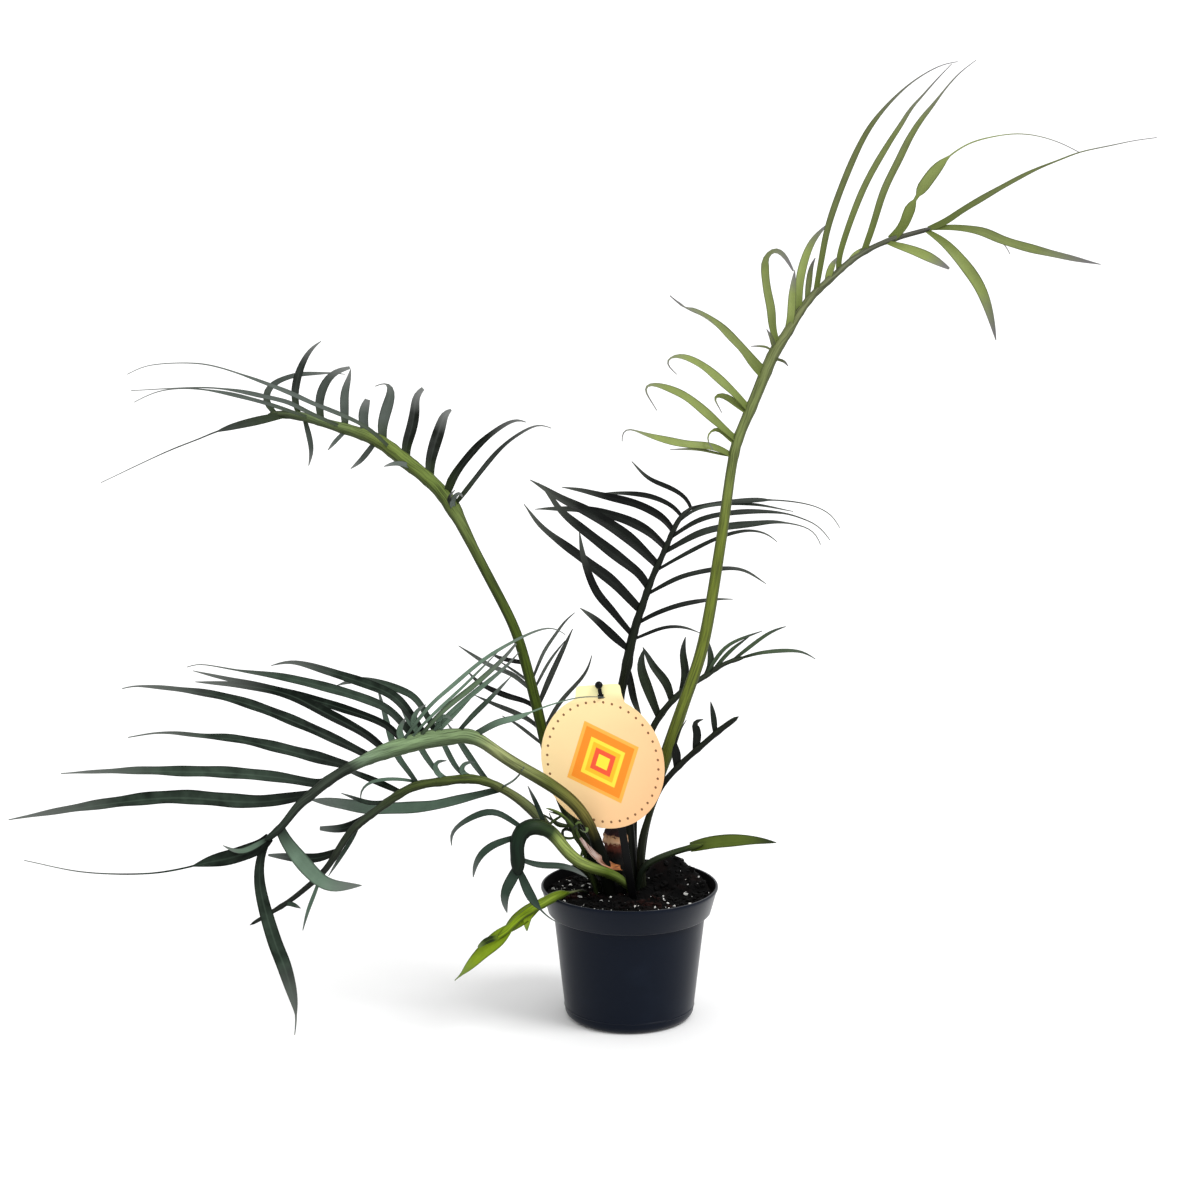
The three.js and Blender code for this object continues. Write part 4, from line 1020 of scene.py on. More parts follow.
def lathe(mesh: Mesh, profile: Sequence[Pair], steps: int) -> None:
    """Spins a profile about the upright axis into a closed body.

    Args:
        mesh: The mesh that it joins.
        profile: Radius and height of each point, in mm.
        steps: How many faces go round.
    """
    verts = [mesh.verts.new((radius * MM, 0.0, height * MM)) for radius, height in profile]
    edges = [mesh.edges.new(pair) for pair in zip(verts, verts[1:])]
    bmesh.ops.spin(
        mesh, geom=verts + edges, axis=(0, 0, 1), cent=(0, 0, 0), dvec=(0, 0, 0),
        angle=2 * math.pi, steps=steps, use_merge=True, use_normal_flip=False, use_duplicate=False,
    )
    bmesh.ops.remove_doubles(mesh, verts=mesh.verts, dist=0.001 * MM)


@dataclass(frozen=True)
class Leaflet:
    """One leaflet: its full width and how far its tip leans back in mm, and its path on the sheet.

    Attributes:
        width: Full width at its broadest.
        lean: How far the tip lies behind the root.
        path: Points of its middle line, right and up on the sheet.
        belly: Where along its length it is broadest.
        neck: Its width at the root, as a part of the full width.
        whip: Where along its length the blade ends and a bare whip begins.
        waists: Where along its length it is pinched.
        twist: How far it turns from root to tip, in degrees.
        roll: How far it is turned at its root, in degrees. 180 shows its lower side.
        tone: How pale it is, from 0 to 1.
    """

    TIP_HALF_WIDTH = 0.28
    WHIP_HALF_WIDTH = 0.66
    # How much a waist takes away, and how far it reaches as a share of the length
    WAIST = (0.82, 0.03)
    # How full the blade stays on its way to the tip
    FALL_CURVE = 0.8

    width: float
    lean: float
    path: tuple[Pair, ...]
    belly: float = 0.4
    neck: float = 0.6
    whip: float = 1.0
    waists: tuple[float, ...] = ()
    twist: float = 0.0
    roll: float = 0.0
    tone: float = 0.2

    def spread(self, along: float) -> float:
        """Gives the blade's width.

        Args:
            along: A share of the length.

        Returns:
            The width there, as a part of the full width.
        """
        if along < self.belly:
            full = self.neck + (1 - self.neck) * math.sin(along / self.belly * math.pi / 2)
        else:
            fall = min(1.0, (along - self.belly) / (self.whip - self.belly))
            full = max(0.0, 1 - fall * fall) ** self.FALL_CURVE
        for waist in self.waists:
            full *= 1 - self.WAIST[0] * math.exp(-(((along - waist) / self.WAIST[1]) ** 2))
        return full

    def half_width(self, along: float) -> float:
        """Gives half the width of the blade and of the whip that carries it on.

        Args:
            along: A share of the length.

        Returns:
            Half the width there, in mm.
        """
        whip = self.TIP_HALF_WIDTH
        if self.whip < 1:
            whip += (self.WHIP_HALF_WIDTH - whip) * min(1.0, (1 - along) / (1 - self.whip))
        return math.hypot(self.spread(along) * self.width / 2, whip)


@dataclass(frozen=True)
class Leaf:
    """One leaf: a round stalk that the leaflets grow from, as one piece.

    Attributes:
        node: The name of its solid.
        slot: The record's material slot.
        skin: Its colours.
        widths: The stalk's thickness in mm, each with the share of its length where it has it.
        petiole: The stalk's line up to the first leaflet, on the sheet and in depth.
        midrib: The rest of the stalk's line.
        leaflets: The leaflets.
        evening: How often the stalk's line is evened out.
    """

    STALK_STEP = 3.0
    STALK_AROUND = 16
    BLADE_STEP = 3.5
    LEAST_STEPS = 12
    MOST_STEPS = 70
    BLADE_AROUND = 12
    STALK_TIP = 9.0
    ROOT_LEAD = 2.5
    ROOT_DEPTH = 18.0
    TIP_HALF_DEPTH = 0.24
    BLADE_HALF_DEPTH = 0.4
    CUP = 0.32
    SWAY = math.radians(9)
    # The first place that a leaflet may leave, as a share of the petiole, and the stalk's least end
    FIRST_ROOT = 0.8
    LEAST_END = 0.12
    # The curve by which a leaflet leans back, and how far its paleness is drawn off its tone
    LEAN_CURVE = 1.2
    TONE_DRAW = 0.12
    # How much thicker the stalk is where a leaflet joins it, and how far along that reaches, in mm
    JOINT = (0.35, 3.0)
    # Depth and width of the stalk's channel, as shares of its thickness and of the way round
    CHANNEL = (0.12, 0.07)
    # Height of a margin's waves as a share of the half-width, and their length in mm for each radian
    WAVE = (0.08, 5.0)
    # Width of the midrib's groove as a share of the half-width, and its depth above and below
    GROOVE = (0.22, 0.5, 0.9)

    node: str
    slot: str
    skin: LeafSkin
    widths: tuple[Pair, ...]
    petiole: tuple[Triple, ...]
    midrib: tuple[Triple, ...]
    leaflets: tuple[Leaflet, ...]
    evening: int = 8

    def _root_of(self, leaflet: Leaflet, stalk: SmoothLine, node_at: float) -> float:
        """Finds where on the stalk a leaflet leaves it.

        Args:
            leaflet: The leaflet.
            stalk: The stalk's line.
            node_at: Where the petiole ends, as a share of the stalk's length.

        Returns:
            The place, as a share of the stalk's length.
        """
        root = Vector(leaflet.path[0])
        shares = [i / stalk.SAMPLES for i in range(stalk.SAMPLES + 1)]
        return min(
            (share for share in shares if share > self.FIRST_ROOT * node_at),
            key=lambda share: (stalk.at(share).xy - root).length,
        )

    def _add_stalk(self, mesh: Mesh, stalk: SmoothLine, node_at: float) -> None:
        """Adds the stalk, thicker where leaflets join it, with its foot in the soil.

        Args:
            mesh: The mesh that it joins.
            stalk: Its line.
            node_at: Where the petiole ends, as a share of its length.
        """
        joints = [self._root_of(leaflet, stalk, node_at) for leaflet in self.leaflets]

        def section(share: float) -> Triple:
            """Gives the stalk's half sizes and turn."""
            off = [(share - joint) * stalk.length / self.JOINT[1] for joint in joints]
            swell = max(math.exp(-(part ** 2)) for part in off)
            end = min(1.0, (1 - share) * stalk.length / self.STALK_TIP)
            half = read_along(self.widths, share) / 2 + self.JOINT[0] * swell
            half *= max(self.LEAST_END, math.sqrt(1 - (1 - end) ** 2))
            return half, half, 0.0

        def outline(share: float, station: Station) -> Pair:
            """Gives the stalk's round outline, channelled above."""
            angle = 2 * math.pi * share
            depth, width = self.CHANNEL
            channel = 1 - depth * math.exp(-(((share - 0.25) / width) ** 2))
            across = station.half_width * channel * math.cos(angle)
            return across, station.half_depth * channel * math.sin(angle)

        steps = max(24, round(stalk.length / self.STALK_STEP))
        centres = evened([in_space(stalk.at(i / steps)) for i in range(steps + 1)], self.evening)
        roots = [centres[0] - Vector((0, 0, self.ROOT_DEPTH * part)) for part in (1.0, 0.6, 0.25)]
        line = stations(roots + centres, section, bare=len(roots))
        roll_tube(mesh, line, self.STALK_AROUND, outline, (0, 0))

    def _add_leaflet(
        self, mesh: Mesh, leaflet: Leaflet, stalk: SmoothLine, node_at: float, seed: str
    ) -> None:
        """Adds one leaflet: cupped along its midrib, with a faintly wavy margin.

        Args:
            mesh: The mesh that it joins.
            leaflet: The leaflet.
            stalk: The stalk's line.
            node_at: Where the petiole ends, as a share of the stalk's length.
            seed: What its random draws start from.
        """
        draw = random.Random(seed)
        phase = draw.uniform(0, 2 * math.pi)
        sway = draw.uniform(-self.SWAY, self.SWAY)
        nearest = self._root_of(leaflet, stalk, node_at)
        start = stalk.at(max(0.0, nearest - self.ROOT_LEAD / stalk.length))
        reach = SmoothLine([start] + [(right, up, start.z) for right, up in leaflet.path[1:]]).length
        points = [start]
        travelled = 0.0
        for right, up in leaflet.path[1:]:
            travelled += (Vector((right, up)) - points[-1].xy).length
            depth = start.z + leaflet.lean * min(1.0, travelled / reach) ** self.LEAN_CURVE
            points.append(Vector((right, up, depth)))
        middle = SmoothLine(points)
        steps = min(self.MOST_STEPS, max(self.LEAST_STEPS, round(reach / self.BLADE_STEP)))
        centres = evened([in_space(middle.at(i / steps)) for i in range(steps + 1)], 3)

        def section(share: float) -> Triple:
            """Gives the blade's half sizes and turn."""
            half_width = leaflet.half_width(share)
            turn = math.radians(leaflet.roll + leaflet.twist * share)
            turn += sway * math.sin(1.5 * math.pi * share + phase) * share
            half_depth = max(self.TIP_HALF_DEPTH, math.sqrt(leaflet.spread(share)) * self.BLADE_HALF_DEPTH)
            return half_width, half_depth, turn

        def outline(share: float, station: Station) -> Pair:
            """Gives the blade's cupped, waved and grooved outline."""
            across = math.cos(2 * math.pi * share)
            rise = math.sin(2 * math.pi * share)
            cup = self.CUP * station.half_width * (abs(across) ** 1.4 - 0.35)
            wave = self.WAVE[0] * station.half_width * across * abs(across)
            wave *= math.sin(station.along * reach / self.WAVE[1] + phase)
            width, above, below = self.GROOVE
            groove = math.exp(-((across / width) ** 2)) * station.half_depth * (above if rise > 0 else below)
            height = station.half_depth * rise * (1 - 0.3 * abs(across)) + cup + wave - groove
            return station.half_width * across, height

        tone = leaflet.tone + draw.uniform(-self.TONE_DRAW, self.TONE_DRAW)
        roll_tube(mesh, stations(centres, section), self.BLADE_AROUND, outline, (1, 2), tone)

    def build(self) -> Object:
        """Builds the leaf as one piece in place of its solid.

        Returns:
            The leaf.
        """
        stalk = SmoothLine(self.petiole + self.midrib)
        node_at = SmoothLine(self.petiole + self.midrib[:1]).length / stalk.length
        mesh = new_tube_mesh()
        self._add_stalk(mesh, stalk, node_at)
        for i, leaflet in enumerate(self.leaflets):
            self._add_leaflet(mesh, leaflet, stalk, node_at, f"{self.node} {i}")
        piece = settle(mesh, f"{self.node}_living", self.skin.materials())
        stand_in(piece, self.slot, self.node)
        return piece


# The leaflets of each leaf, with their paths on the sheet
TALL_LEAFLETS = (
    Leaflet(4.9, -10, ((205, 533), (214, 537), (224, 544), (271.5, 571), (292, 579.5), (305, 584.5),
        (326, 589), (342.5, 592.5), (357.5, 594.5)), belly=0.06, neck=0.8, tone=0.45, whip=0.6),
    Leaflet(6, -35, ((69, 381.5), (58, 384.5), (37.5, 386.5), (17.5, 391), (7, 394.5), (-0.5, 397.5),
        (-5, 396), (-5, 388.5)), tone=0.85, whip=0.8),
    Leaflet(4.9, -12, ((72, 390), (66, 393), (58.5, 397.5), (54.5, 395.5), (52, 390.5), (56.5, 383)), tone=1,
        belly=0.15, whip=0.6),
    Leaflet(6.7, -45, ((73, 392.5), (37, 419.5), (28, 423.5), (17.5, 427), (10.5, 427), (9.5, 424),
        (13, 418.5), (18.5, 409.5)), tone=0.9, whip=0.8, belly=0.35),
    Leaflet(5.5, -15, ((78.5, 410), (71.5, 414.5), (66, 418.5), (59.5, 420.5), (55.5, 417.5), (59.5, 414.5),
        (62.5, 408)), tone=1, belly=0.25, whip=0.7),
    Leaflet(7.1, -50, ((80.5, 413.5), (73.5, 418.5), (60, 431), (46.5, 441.5), (34, 446.5), (28, 446),
        (24, 442.5), (32, 434)), tone=0.9, whip=0.8),
    Leaflet(9.5, -50, ((88.5, 437.5), (81, 444.5), (77, 450), (57.5, 469), (47, 476), (38.5, 478.5),
        (27.5, 487.5)), twist=40, tone=0.7, waists=(0.82,), belly=0.5, neck=0.9),
    Leaflet(2, -10, ((96.5, 451), (94, 452), (88.5, 453), (82.5, 453)), tone=0.1),
    Leaflet(2.2, -8, ((100.5, 446), (105, 442.5), (107.5, 439.5))),
    Leaflet(6.1, -55, ((100, 457), (97, 464), (96, 477.5), (93, 491), (92, 511), (95.5, 517), (100, 519),
        (106, 513), (111, 504)), belly=0.3, tone=0.75, whip=1.05),
    Leaflet(3.5, -8, ((98.5, 451.5), (96, 458.5), (93, 464.5)), tone=0.3),
    Leaflet(5.4, 20, ((107, 464), (109.5, 472), (110, 484), (112, 504.5)), tone=0.75, neck=0.8),
    Leaflet(5.8, 35, ((115.5, 476), (115, 494.5), (118.5, 511), (124.5, 525), (135.5, 537)), tone=0.9,
        neck=0.8),
    Leaflet(4.1, 15, ((123, 482.5), (121, 491), (123.5, 508), (126, 513))),
    Leaflet(4.3, 30, ((128.5, 491), (129.5, 508), (135.5, 537), (157.5, 592), (170.5, 611.5), (191.5, 632),
        (212.5, 644), (222.5, 646)), tone=0.45, neck=0.8, whip=0.8),
    Leaflet(4.3, 55, ((142.5, 506), (141.5, 510), (158, 558.5), (177, 592.5), (184, 603), (191, 614.5),
        (197, 621), (207.5, 633), (218.5, 644.5)), tone=0.45, neck=0.8, whip=0.85),
    Leaflet(3.3, 15, ((149, 510), (153, 515.5), (160.5, 520.5)), tone=0.9),
    Leaflet(4.9, 75, ((161, 518), (164.5, 533), (172.5, 558.5), (183, 580), (189.5, 593.5), (198, 607),
        (205, 615.5), (214.5, 628), (224, 638.5), (235, 647)), tone=0.45, neck=0.8, whip=0.8),
    Leaflet(8.4, 45, ((180.5, 526), (186, 534.5), (190, 546), (212, 577.5), (225.5, 588), (234, 592),
        (259.5, 597), (275, 596), (292, 591), (305, 584.5)), tone=0.9, belly=0.3, neck=0.7, whip=0.42,
        waists=(0.2,)),
    Leaflet(8.3, -30, ((176, 523), (196.5, 516), (216.5, 505.5)), tone=1, belly=0.55, neck=0.3, whip=1.05),
    Leaflet(8, -45, ((202.5, 531.5), (213.5, 523), (235, 497.5), (241.5, 484), (246.5, 467), (248.5, 457)),
        twist=30, tone=0.75, neck=0.4),
    Leaflet(7.6, -30, ((205, 533), (217.5, 533.5), (241, 530), (249, 526), (268, 520), (309, 510.5),
        (319.5, 508.5)), tone=0.55, belly=0.42, neck=0.3, waists=()),
    Leaflet(2.3, -20, ((67, 380.5), (58, 380.5), (48, 383), (27.5, 383)), tone=0.5),
    Leaflet(4.8, 8, ((134.5, 497.5), (137.5, 508), (140.5, 513)), tone=0.8),
    Leaflet(2.2, 30, ((205, 533), (217.5, 533), (231, 531.5), (252, 524.5), (256, 520), (258, 515.5)),
        tone=0.5, belly=0.2, neck=0.2),
)
UPPER_LEFT_LEAFLETS = (
    Leaflet(6.8, 15, ((-233.5, 407), (-279, 395.5), (-291, 390.5), (-311.5, 382.5), (-358.5, 360.5)),
        whip=0.36, belly=0.2, neck=0.8, tone=0.35),
    Leaflet(3.4, -40, ((-161, 383), (-177.5, 397.5), (-193, 405.5), (-215.5, 414.5), (-229.5, 421),
        (-277.5, 438.5), (-294.5, 441.5), (-328.5, 439.5), (-340.5, 434)), tone=0.7, whip=0.6),
    Leaflet(3.4, -22, ((-194, 397.5), (-220.5, 409.5), (-230, 414.5), (-248.5, 419), (-267.5, 423),
        (-288, 425), (-338, 423)), tone=0.7, whip=0.6),
    Leaflet(3.1, -8, ((-216.5, 404), (-249, 415), (-281, 422.5), (-301.5, 424.5), (-317, 423), (-325, 420.5),
        (-336, 415)), tone=0.7, whip=0.6),
    Leaflet(4.7, 35, ((-242.5, 407.5), (-246.5, 414.5), (-246.5, 421), (-243, 426.5), (-226, 433.5),
        (-210, 434.5), (-201, 435), (-193, 434)), tone=0.6, belly=0.2, whip=0.9),
    Leaflet(5.5, 20, ((-226, 407), (-227, 417), (-224, 435.5), (-215.5, 451.5), (-209, 456.5)), tone=0.1),
    Leaflet(6.2, 24, ((-210, 402.5), (-210.5, 413), (-208.5, 423), (-205, 430), (-199.5, 435.5),
        (-189.5, 438.5)), tone=0.35, whip=1.1),
    Leaflet(6.1, 10, ((-194, 400), (-193, 423), (-190, 431), (-189, 437.5)), tone=0.75),
    Leaflet(6.8, 6, ((-180.5, 394.5), (-180.5, 404), (-179.5, 411), (-177.5, 417)), tone=0.75, belly=0.6,
        whip=1.15),
    Leaflet(7.5, 30, ((-167, 392.5), (-168, 396), (-165, 409.5), (-161.5, 421.5), (-162, 426.5), (-165, 429),
        (-172.5, 426)), twist=30, tone=0.6, whip=0.85),
    Leaflet(7.5, 35, ((-152, 377.5), (-152, 382.5), (-148, 396), (-145.5, 409.5), (-145, 419.5),
        (-140, 424.5)), twist=30, tone=0, whip=1.1),
    Leaflet(8.2, 36, ((-136.5, 364), (-135.5, 372), (-127, 402.5), (-125, 408.5), (-121, 410)), twist=30,
        tone=0, whip=1.03, belly=0.55),
    Leaflet(6.5, -30, ((-123.5, 355.5), (-120.5, 362), (-101, 387), (-80.5, 402), (-73.5, 403.5),
        (-70, 401.5)), tone=0, belly=0.15),
    Leaflet(4, -50, ((-114, 350), (-112, 353.5), (-88, 383), (-74, 394), (-60.5, 400), (-53, 397.5)),
        tone=0.15, belly=0.2),
    Leaflet(3.8, -15, ((-223.5, 404), (-216.5, 389), (-215.5, 381), (-217.5, 372)), tone=0.5),
    Leaflet(3.3, -8, ((-194, 395.5), (-198, 390), (-204.5, 382.5)), tone=0.8),
    Leaflet(4.3, -12, ((-174.5, 386.5), (-177.5, 381), (-182.5, 375), (-189, 370)), tone=0.5),
    Leaflet(4.6, -10, ((-147.5, 371), (-157, 373.5), (-166.5, 371.5)), tone=1),
    Leaflet(4.1, -8, ((-120.5, 340.5), (-120.5, 346.5), (-115, 354), (-113, 350.5)), tone=1),
    Leaflet(2.8, -12, ((-123, 343), (-122.5, 348.5), (-121, 352.5), (-118.5, 355.5)), tone=0),
)
MIDDLE_LEAFLETS = (
    Leaflet(5.1, 6, ((-1, 238.5), (-0.5, 232), (3, 213), (8, 201.5)), tone=0.05, belly=0.5),
    Leaflet(6.2, -10, ((-3.5, 250), (-14.5, 259.5), (-21, 266), (-33.5, 275.5)), tone=0.05),
    Leaflet(5.9, -14, ((3, 258.5), (-6.5, 267), (-13, 275), (-20, 282.5), (-24, 289), (-31.5, 310.5),
        (-34, 327.5)), tone=0.05),
    Leaflet(8.7, -18, ((8.5, 276.5), (-13, 294.5), (-20, 299.5), (-33.5, 310), (-60.5, 331), (-71.5, 346)),
        twist=25, belly=0.3, tone=0.05),
    Leaflet(8, -10, ((13, 291.5), (7, 298.5), (0.5, 303.5), (-33.5, 330), (-47, 341.5), (-55.5, 354),
        (-62, 360.5)), belly=0.3, tone=0.05),
    Leaflet(8.5, 4, ((18, 307), (0.5, 322), (-20, 336), (-33.5, 343.5), (-47, 350), (-60.5, 358.5),
        (-67.5, 362.5)), twist=-20, belly=0.3, tone=0.05),
    Leaflet(7.2, 16, ((25.5, 318), (14, 326.5), (0.5, 334), (-13, 338.5), (-33.5, 342.5), (-47, 342.5),
        (-54, 343), (-64, 342.5)), belly=0.3, tone=0.05),
    Leaflet(6.4, 28, ((31.5, 329.5), (25, 334.5), (7, 345), (-20, 352), (-33.5, 355.5), (-46, 357.5)),
        belly=0.35, tone=0.05),
    Leaflet(4.2, 36, ((36.5, 339.5), (31.5, 343), (20.5, 349), (10.5, 352), (-10, 353.5), (-20, 353)),
        tone=0.05),
    Leaflet(3.7, 40, ((44.5, 343), (40.5, 348), (30.5, 355.5), (12.5, 363.5), (1.5, 375)), tone=0.05),
    Leaflet(2.7, 14, ((6, 255), (10.5, 257.5), (24, 262.5), (37.5, 262.5), (48, 258.5))),
    Leaflet(3.8, 18, ((7, 266.5), (14, 270), (34, 277.5), (58.5, 281.5), (70, 281.5))),
    Leaflet(3.8, 22, ((14, 285.5), (24, 291.5), (37.5, 297.5), (75, 302), (92.5, 292))),
    Leaflet(3.2, 24, ((19.5, 301.5), (34, 310), (60, 323), (75, 327.5), (85, 328), (94, 325.5),
        (100, 320.5))),
    Leaflet(5.3, 26, ((25.5, 314.5), (51, 327.5), (88.5, 333), (98.5, 334), (120.5, 330), (127, 325),
        (129.5, 318.5)), whip=0.75, tone=0.5),
    Leaflet(4.1, 30, ((29.5, 325), (48, 335.5), (75, 340.5), (98.5, 340.5), (109, 339), (117.5, 336),
        (126, 332.5), (132, 327), (136, 321.5)), whip=0.7, tone=0.4),
    Leaflet(2.7, 34, ((34, 334), (46, 343), (81, 346), (111, 341)), tone=0.9),
    Leaflet(3.8, 40, ((43.5, 343), (51, 345), (75, 348), (102, 348.5), (126, 344.5), (137.5, 338),
        (142.5, 330)), whip=0.5, tone=0.6),
)
LOW_LEFT_LEAFLETS = (
    Leaflet(10.4, -25, ((-216, 146), (-251, 144), (-309, 147), (-359, 142), (-421, 132)), twist=20,
        belly=0.35, tone=0.1),
    Leaflet(8.5, -15, ((-201, 154), (-208.5, 156), (-216.5, 157), (-237, 160.5), (-277.5, 164), (-305, 164.5),
        (-332, 165), (-385.5, 163.5)), twist=25, tone=0.1),
    Leaflet(8.8, -5, ((-191, 169), (-196.5, 170), (-264, 186), (-291, 188.5), (-318.5, 191), (-340, 188)),
        twist=50, tone=0.1, belly=0.2),
    Leaflet(8, 5, ((-177.5, 175), (-189.5, 181.5), (-216.5, 194), (-257.5, 210), (-284.5, 217),
        (-338.5, 222.5), (-344, 221)), twist=30, tone=0.1),
    Leaflet(7.2, 14, ((-169, 183.5), (-176, 188), (-210, 206.5), (-230, 216.5), (-257.5, 222.5),
        (-294.5, 225.5)), tone=0.1),
    Leaflet(6.1, 22, ((-155.5, 189), (-162.5, 194.5), (-196.5, 208), (-250.5, 222.5), (-277.5, 228.5),
        (-296, 233)), tone=0.1),
    Leaflet(6.5, 30, ((-150, 198), (-162.5, 206), (-176, 212.5), (-203, 221), (-237, 229), (-264, 233),
        (-294.5, 237.5), (-300, 235.5)), tone=0.1, whip=0.8),
    Leaflet(6.8, 34, ((-142, 202.5), (-155.5, 212), (-162.5, 217.5), (-203, 232), (-230, 239), (-243, 236.5)),
        tone=0.1),
    Leaflet(5.3, 34, ((-133, 209.5), (-145.5, 215), (-155.5, 220), (-169, 224.5), (-186, 226.5),
        (-198.5, 223)), belly=0.7),
    Leaflet(4.6, 28, ((-108, 194), (-88, 198.5), (-77.5, 200.5), (-60.5, 207.5), (-37, 214.5), (-27, 215.5),
        (-16.5, 215)), belly=0.3, tone=1, whip=0.45, neck=1),
    Leaflet(2.8, 40, ((-158.5, 180.5), (-135.5, 209), (-121.5, 221.5), (-94.5, 243.5), (-60.5, 261),
        (-50.5, 262), (-43.5, 257.5)), tone=1),
    Leaflet(3.9, 30, ((-147.5, 183.5), (-128.5, 204), (-118.5, 213), (-107.5, 221.5), (-84.5, 242.5),
        (-77, 251.5)), whip=1.1, tone=1, belly=0.5, neck=0.5, roll=180),
    Leaflet(3.6, 24, ((-136.5, 186.5), (-126.5, 195.5), (-108, 215), (-101.5, 221)), tone=0.9),
    Leaflet(3.6, 18, ((-121.5, 188), (-113.5, 194.5), (-105.5, 203.5), (-96.5, 212), (-80.5, 229)), tone=0.3),
    Leaflet(4.1, -8, ((-142, 183), (-147, 198), (-143, 207), (-138, 210)), tone=0.9),
    Leaflet(4.1, -10, ((-128, 186), (-130, 198), (-124, 203), (-120, 199)), tone=0.9),
    Leaflet(4.7, -8, ((-153, 180), (-156, 191), (-152, 201)), tone=0.9),
    Leaflet(10.2, 12, ((-237, 123.5), (-233, 117.5), (-210.5, 91), (-202.5, 87), (-181.5, 87.5)), tone=0.75,
        belly=0.45),
    Leaflet(10.7, -15, ((-245, 118.5), (-249, 114), (-257.5, 110.5), (-271, 106), (-284.5, 103.5),
        (-305, 98.5), (-326, 95.5), (-370.5, 96.5), (-410.5, 104.5)), whip=0.33, belly=0.14, tone=0),
    Leaflet(9, -8, ((-246, 119.5), (-249, 110), (-251, 91), (-240.5, 49), (-234, 32.5), (-226, 0.5),
        (-227, -14)), belly=0.62, neck=0.45, whip=0.9),
    Leaflet(3.8, -12, ((-246.5, 118.5), (-254, 114), (-264, 110), (-271, 112), (-275.5, 114.5)), tone=0.7),
    Leaflet(3.6, 26, ((-138.5, 186.5), (-124.5, 201.5), (-83, 236.5), (-75, 245.5)), tone=0.9, belly=0.5,
        neck=0.5),
    Leaflet(2.2, 34, ((-154, 181.5), (-138.5, 198), (-111.5, 223.5), (-88, 247)), tone=1),
)
BEHIND_LEFT_LEAFLETS = (
    Leaflet(3.7, 18, ((-65, 220), (-69, 222), (-80, 231), (-92, 235), (-116, 250)), tone=0.9),
    Leaflet(4.5, 22, ((-62.5, 209), (-69, 212), (-81, 215), (-102.5, 225), (-110, 233)), tone=0),
    Leaflet(3.8, 22, ((-60, 194.5), (-67.5, 199.5), (-94.5, 211.5), (-105, 216.5)), tone=0.4),
    Leaflet(2.5, 16, ((-57.5, 183), (-77.5, 197.5), (-86.5, 202.5)), tone=0.6),
    Leaflet(2.4, 10, ((-65.5, 229), (-57.5, 247), (-50.5, 257), (-43.5, 267), (-37, 272.5)), tone=0.9),
    Leaflet(2.1, 12, ((-64, 222.5), (-54, 240), (-43.5, 253.5)), tone=1),
    Leaflet(4.1, 14, ((-60, 211), (-54, 228), (-38.5, 261.5)), tone=0.4),
    Leaflet(3.1, 16, ((-56.5, 194), (-52, 204), (-46, 213), (-29, 232.5), (-25.5, 243.5)), tone=0.5),
    Leaflet(1.9, 6, ((-64.5, 219.5), (-73, 225), (-84.5, 234.5)), tone=0.6),
    Leaflet(1.9, 10, ((-67, 225), (-74, 230), (-89, 240)), tone=0.3),
    Leaflet(3.6, 14, ((-85, 236.5), (-90.5, 242.5), (-94, 245.5)), tone=0),
)
ARCH_LEAFLETS = (
    Leaflet(4.5, 12, ((-145, 154), (-153, 169), (-157, 174), (-171, 222.5)), tone=0.6),
    Leaflet(4.2, 16, ((-128, 157.5), (-140.5, 178.5), (-149.5, 198.5), (-159.5, 219)), tone=0.6),
    Leaflet(3.8, 20, ((-112, 159.5), (-115.5, 164.5), (-135.5, 203.5)), tone=0.4),
    Leaflet(4.6, 18, ((-97.5, 157.5), (-102.5, 166), (-123.5, 197.5)), tone=0.4),
    Leaflet(10, -18, ((-88.5, 154.5), (-117.5, 145), (-135.5, 141), (-176, 139.5), (-196.5, 142.5),
        (-216.5, 145.5)), twist=20, tone=1, belly=0.78, neck=0.42),
    Leaflet(2.6, -8, ((-142, 156.5), (-155.5, 159.5), (-172.5, 158.5), (-179.5, 155.5), (-183.5, 148.5),
        (-182, 145)), tone=1),
    Leaflet(6.8, -8, ((-174.5, 135), (-182.5, 130), (-196.5, 125.5), (-210, 126)), whip=1.15, tone=0),
    Leaflet(6.9, -8, ((-199, 109), (-210, 106), (-218, 105.5), (-245, 108)), whip=1.05, tone=0),
    Leaflet(3.2, 8, ((-185, 128), (-187, 121), (-204, 94))),
    Leaflet(2.7, 6, ((-212.5, 95), (-214, 80.5), (-218, 70.5), (-221.5, 57)), tone=0.9),
    Leaflet(3.2, -5, ((-237, 74), (-230, 75), (-223, 72))),
    Leaflet(4.1, -10, ((-124, 159), (-131, 164), (-131, 171), (-124, 172)), tone=1),
    Leaflet(4.1, -10, ((-107, 161), (-114, 164), (-112, 170), (-105, 171)), tone=1),
    Leaflet(1.9, -44, ((-89.5, 154), (-79.5, 158), (-75, 162.5), (-71.5, 168)), tone=1, belly=0.5, neck=0.8,
        whip=0.9),
    Leaflet(4.9, 18, ((-157, 150.5), (-175.5, 159.5), (-197, 168)), tone=0),
    Leaflet(3.4, -14, ((-165, 143.5), (-174.5, 143), (-195.5, 150)), tone=0),
)
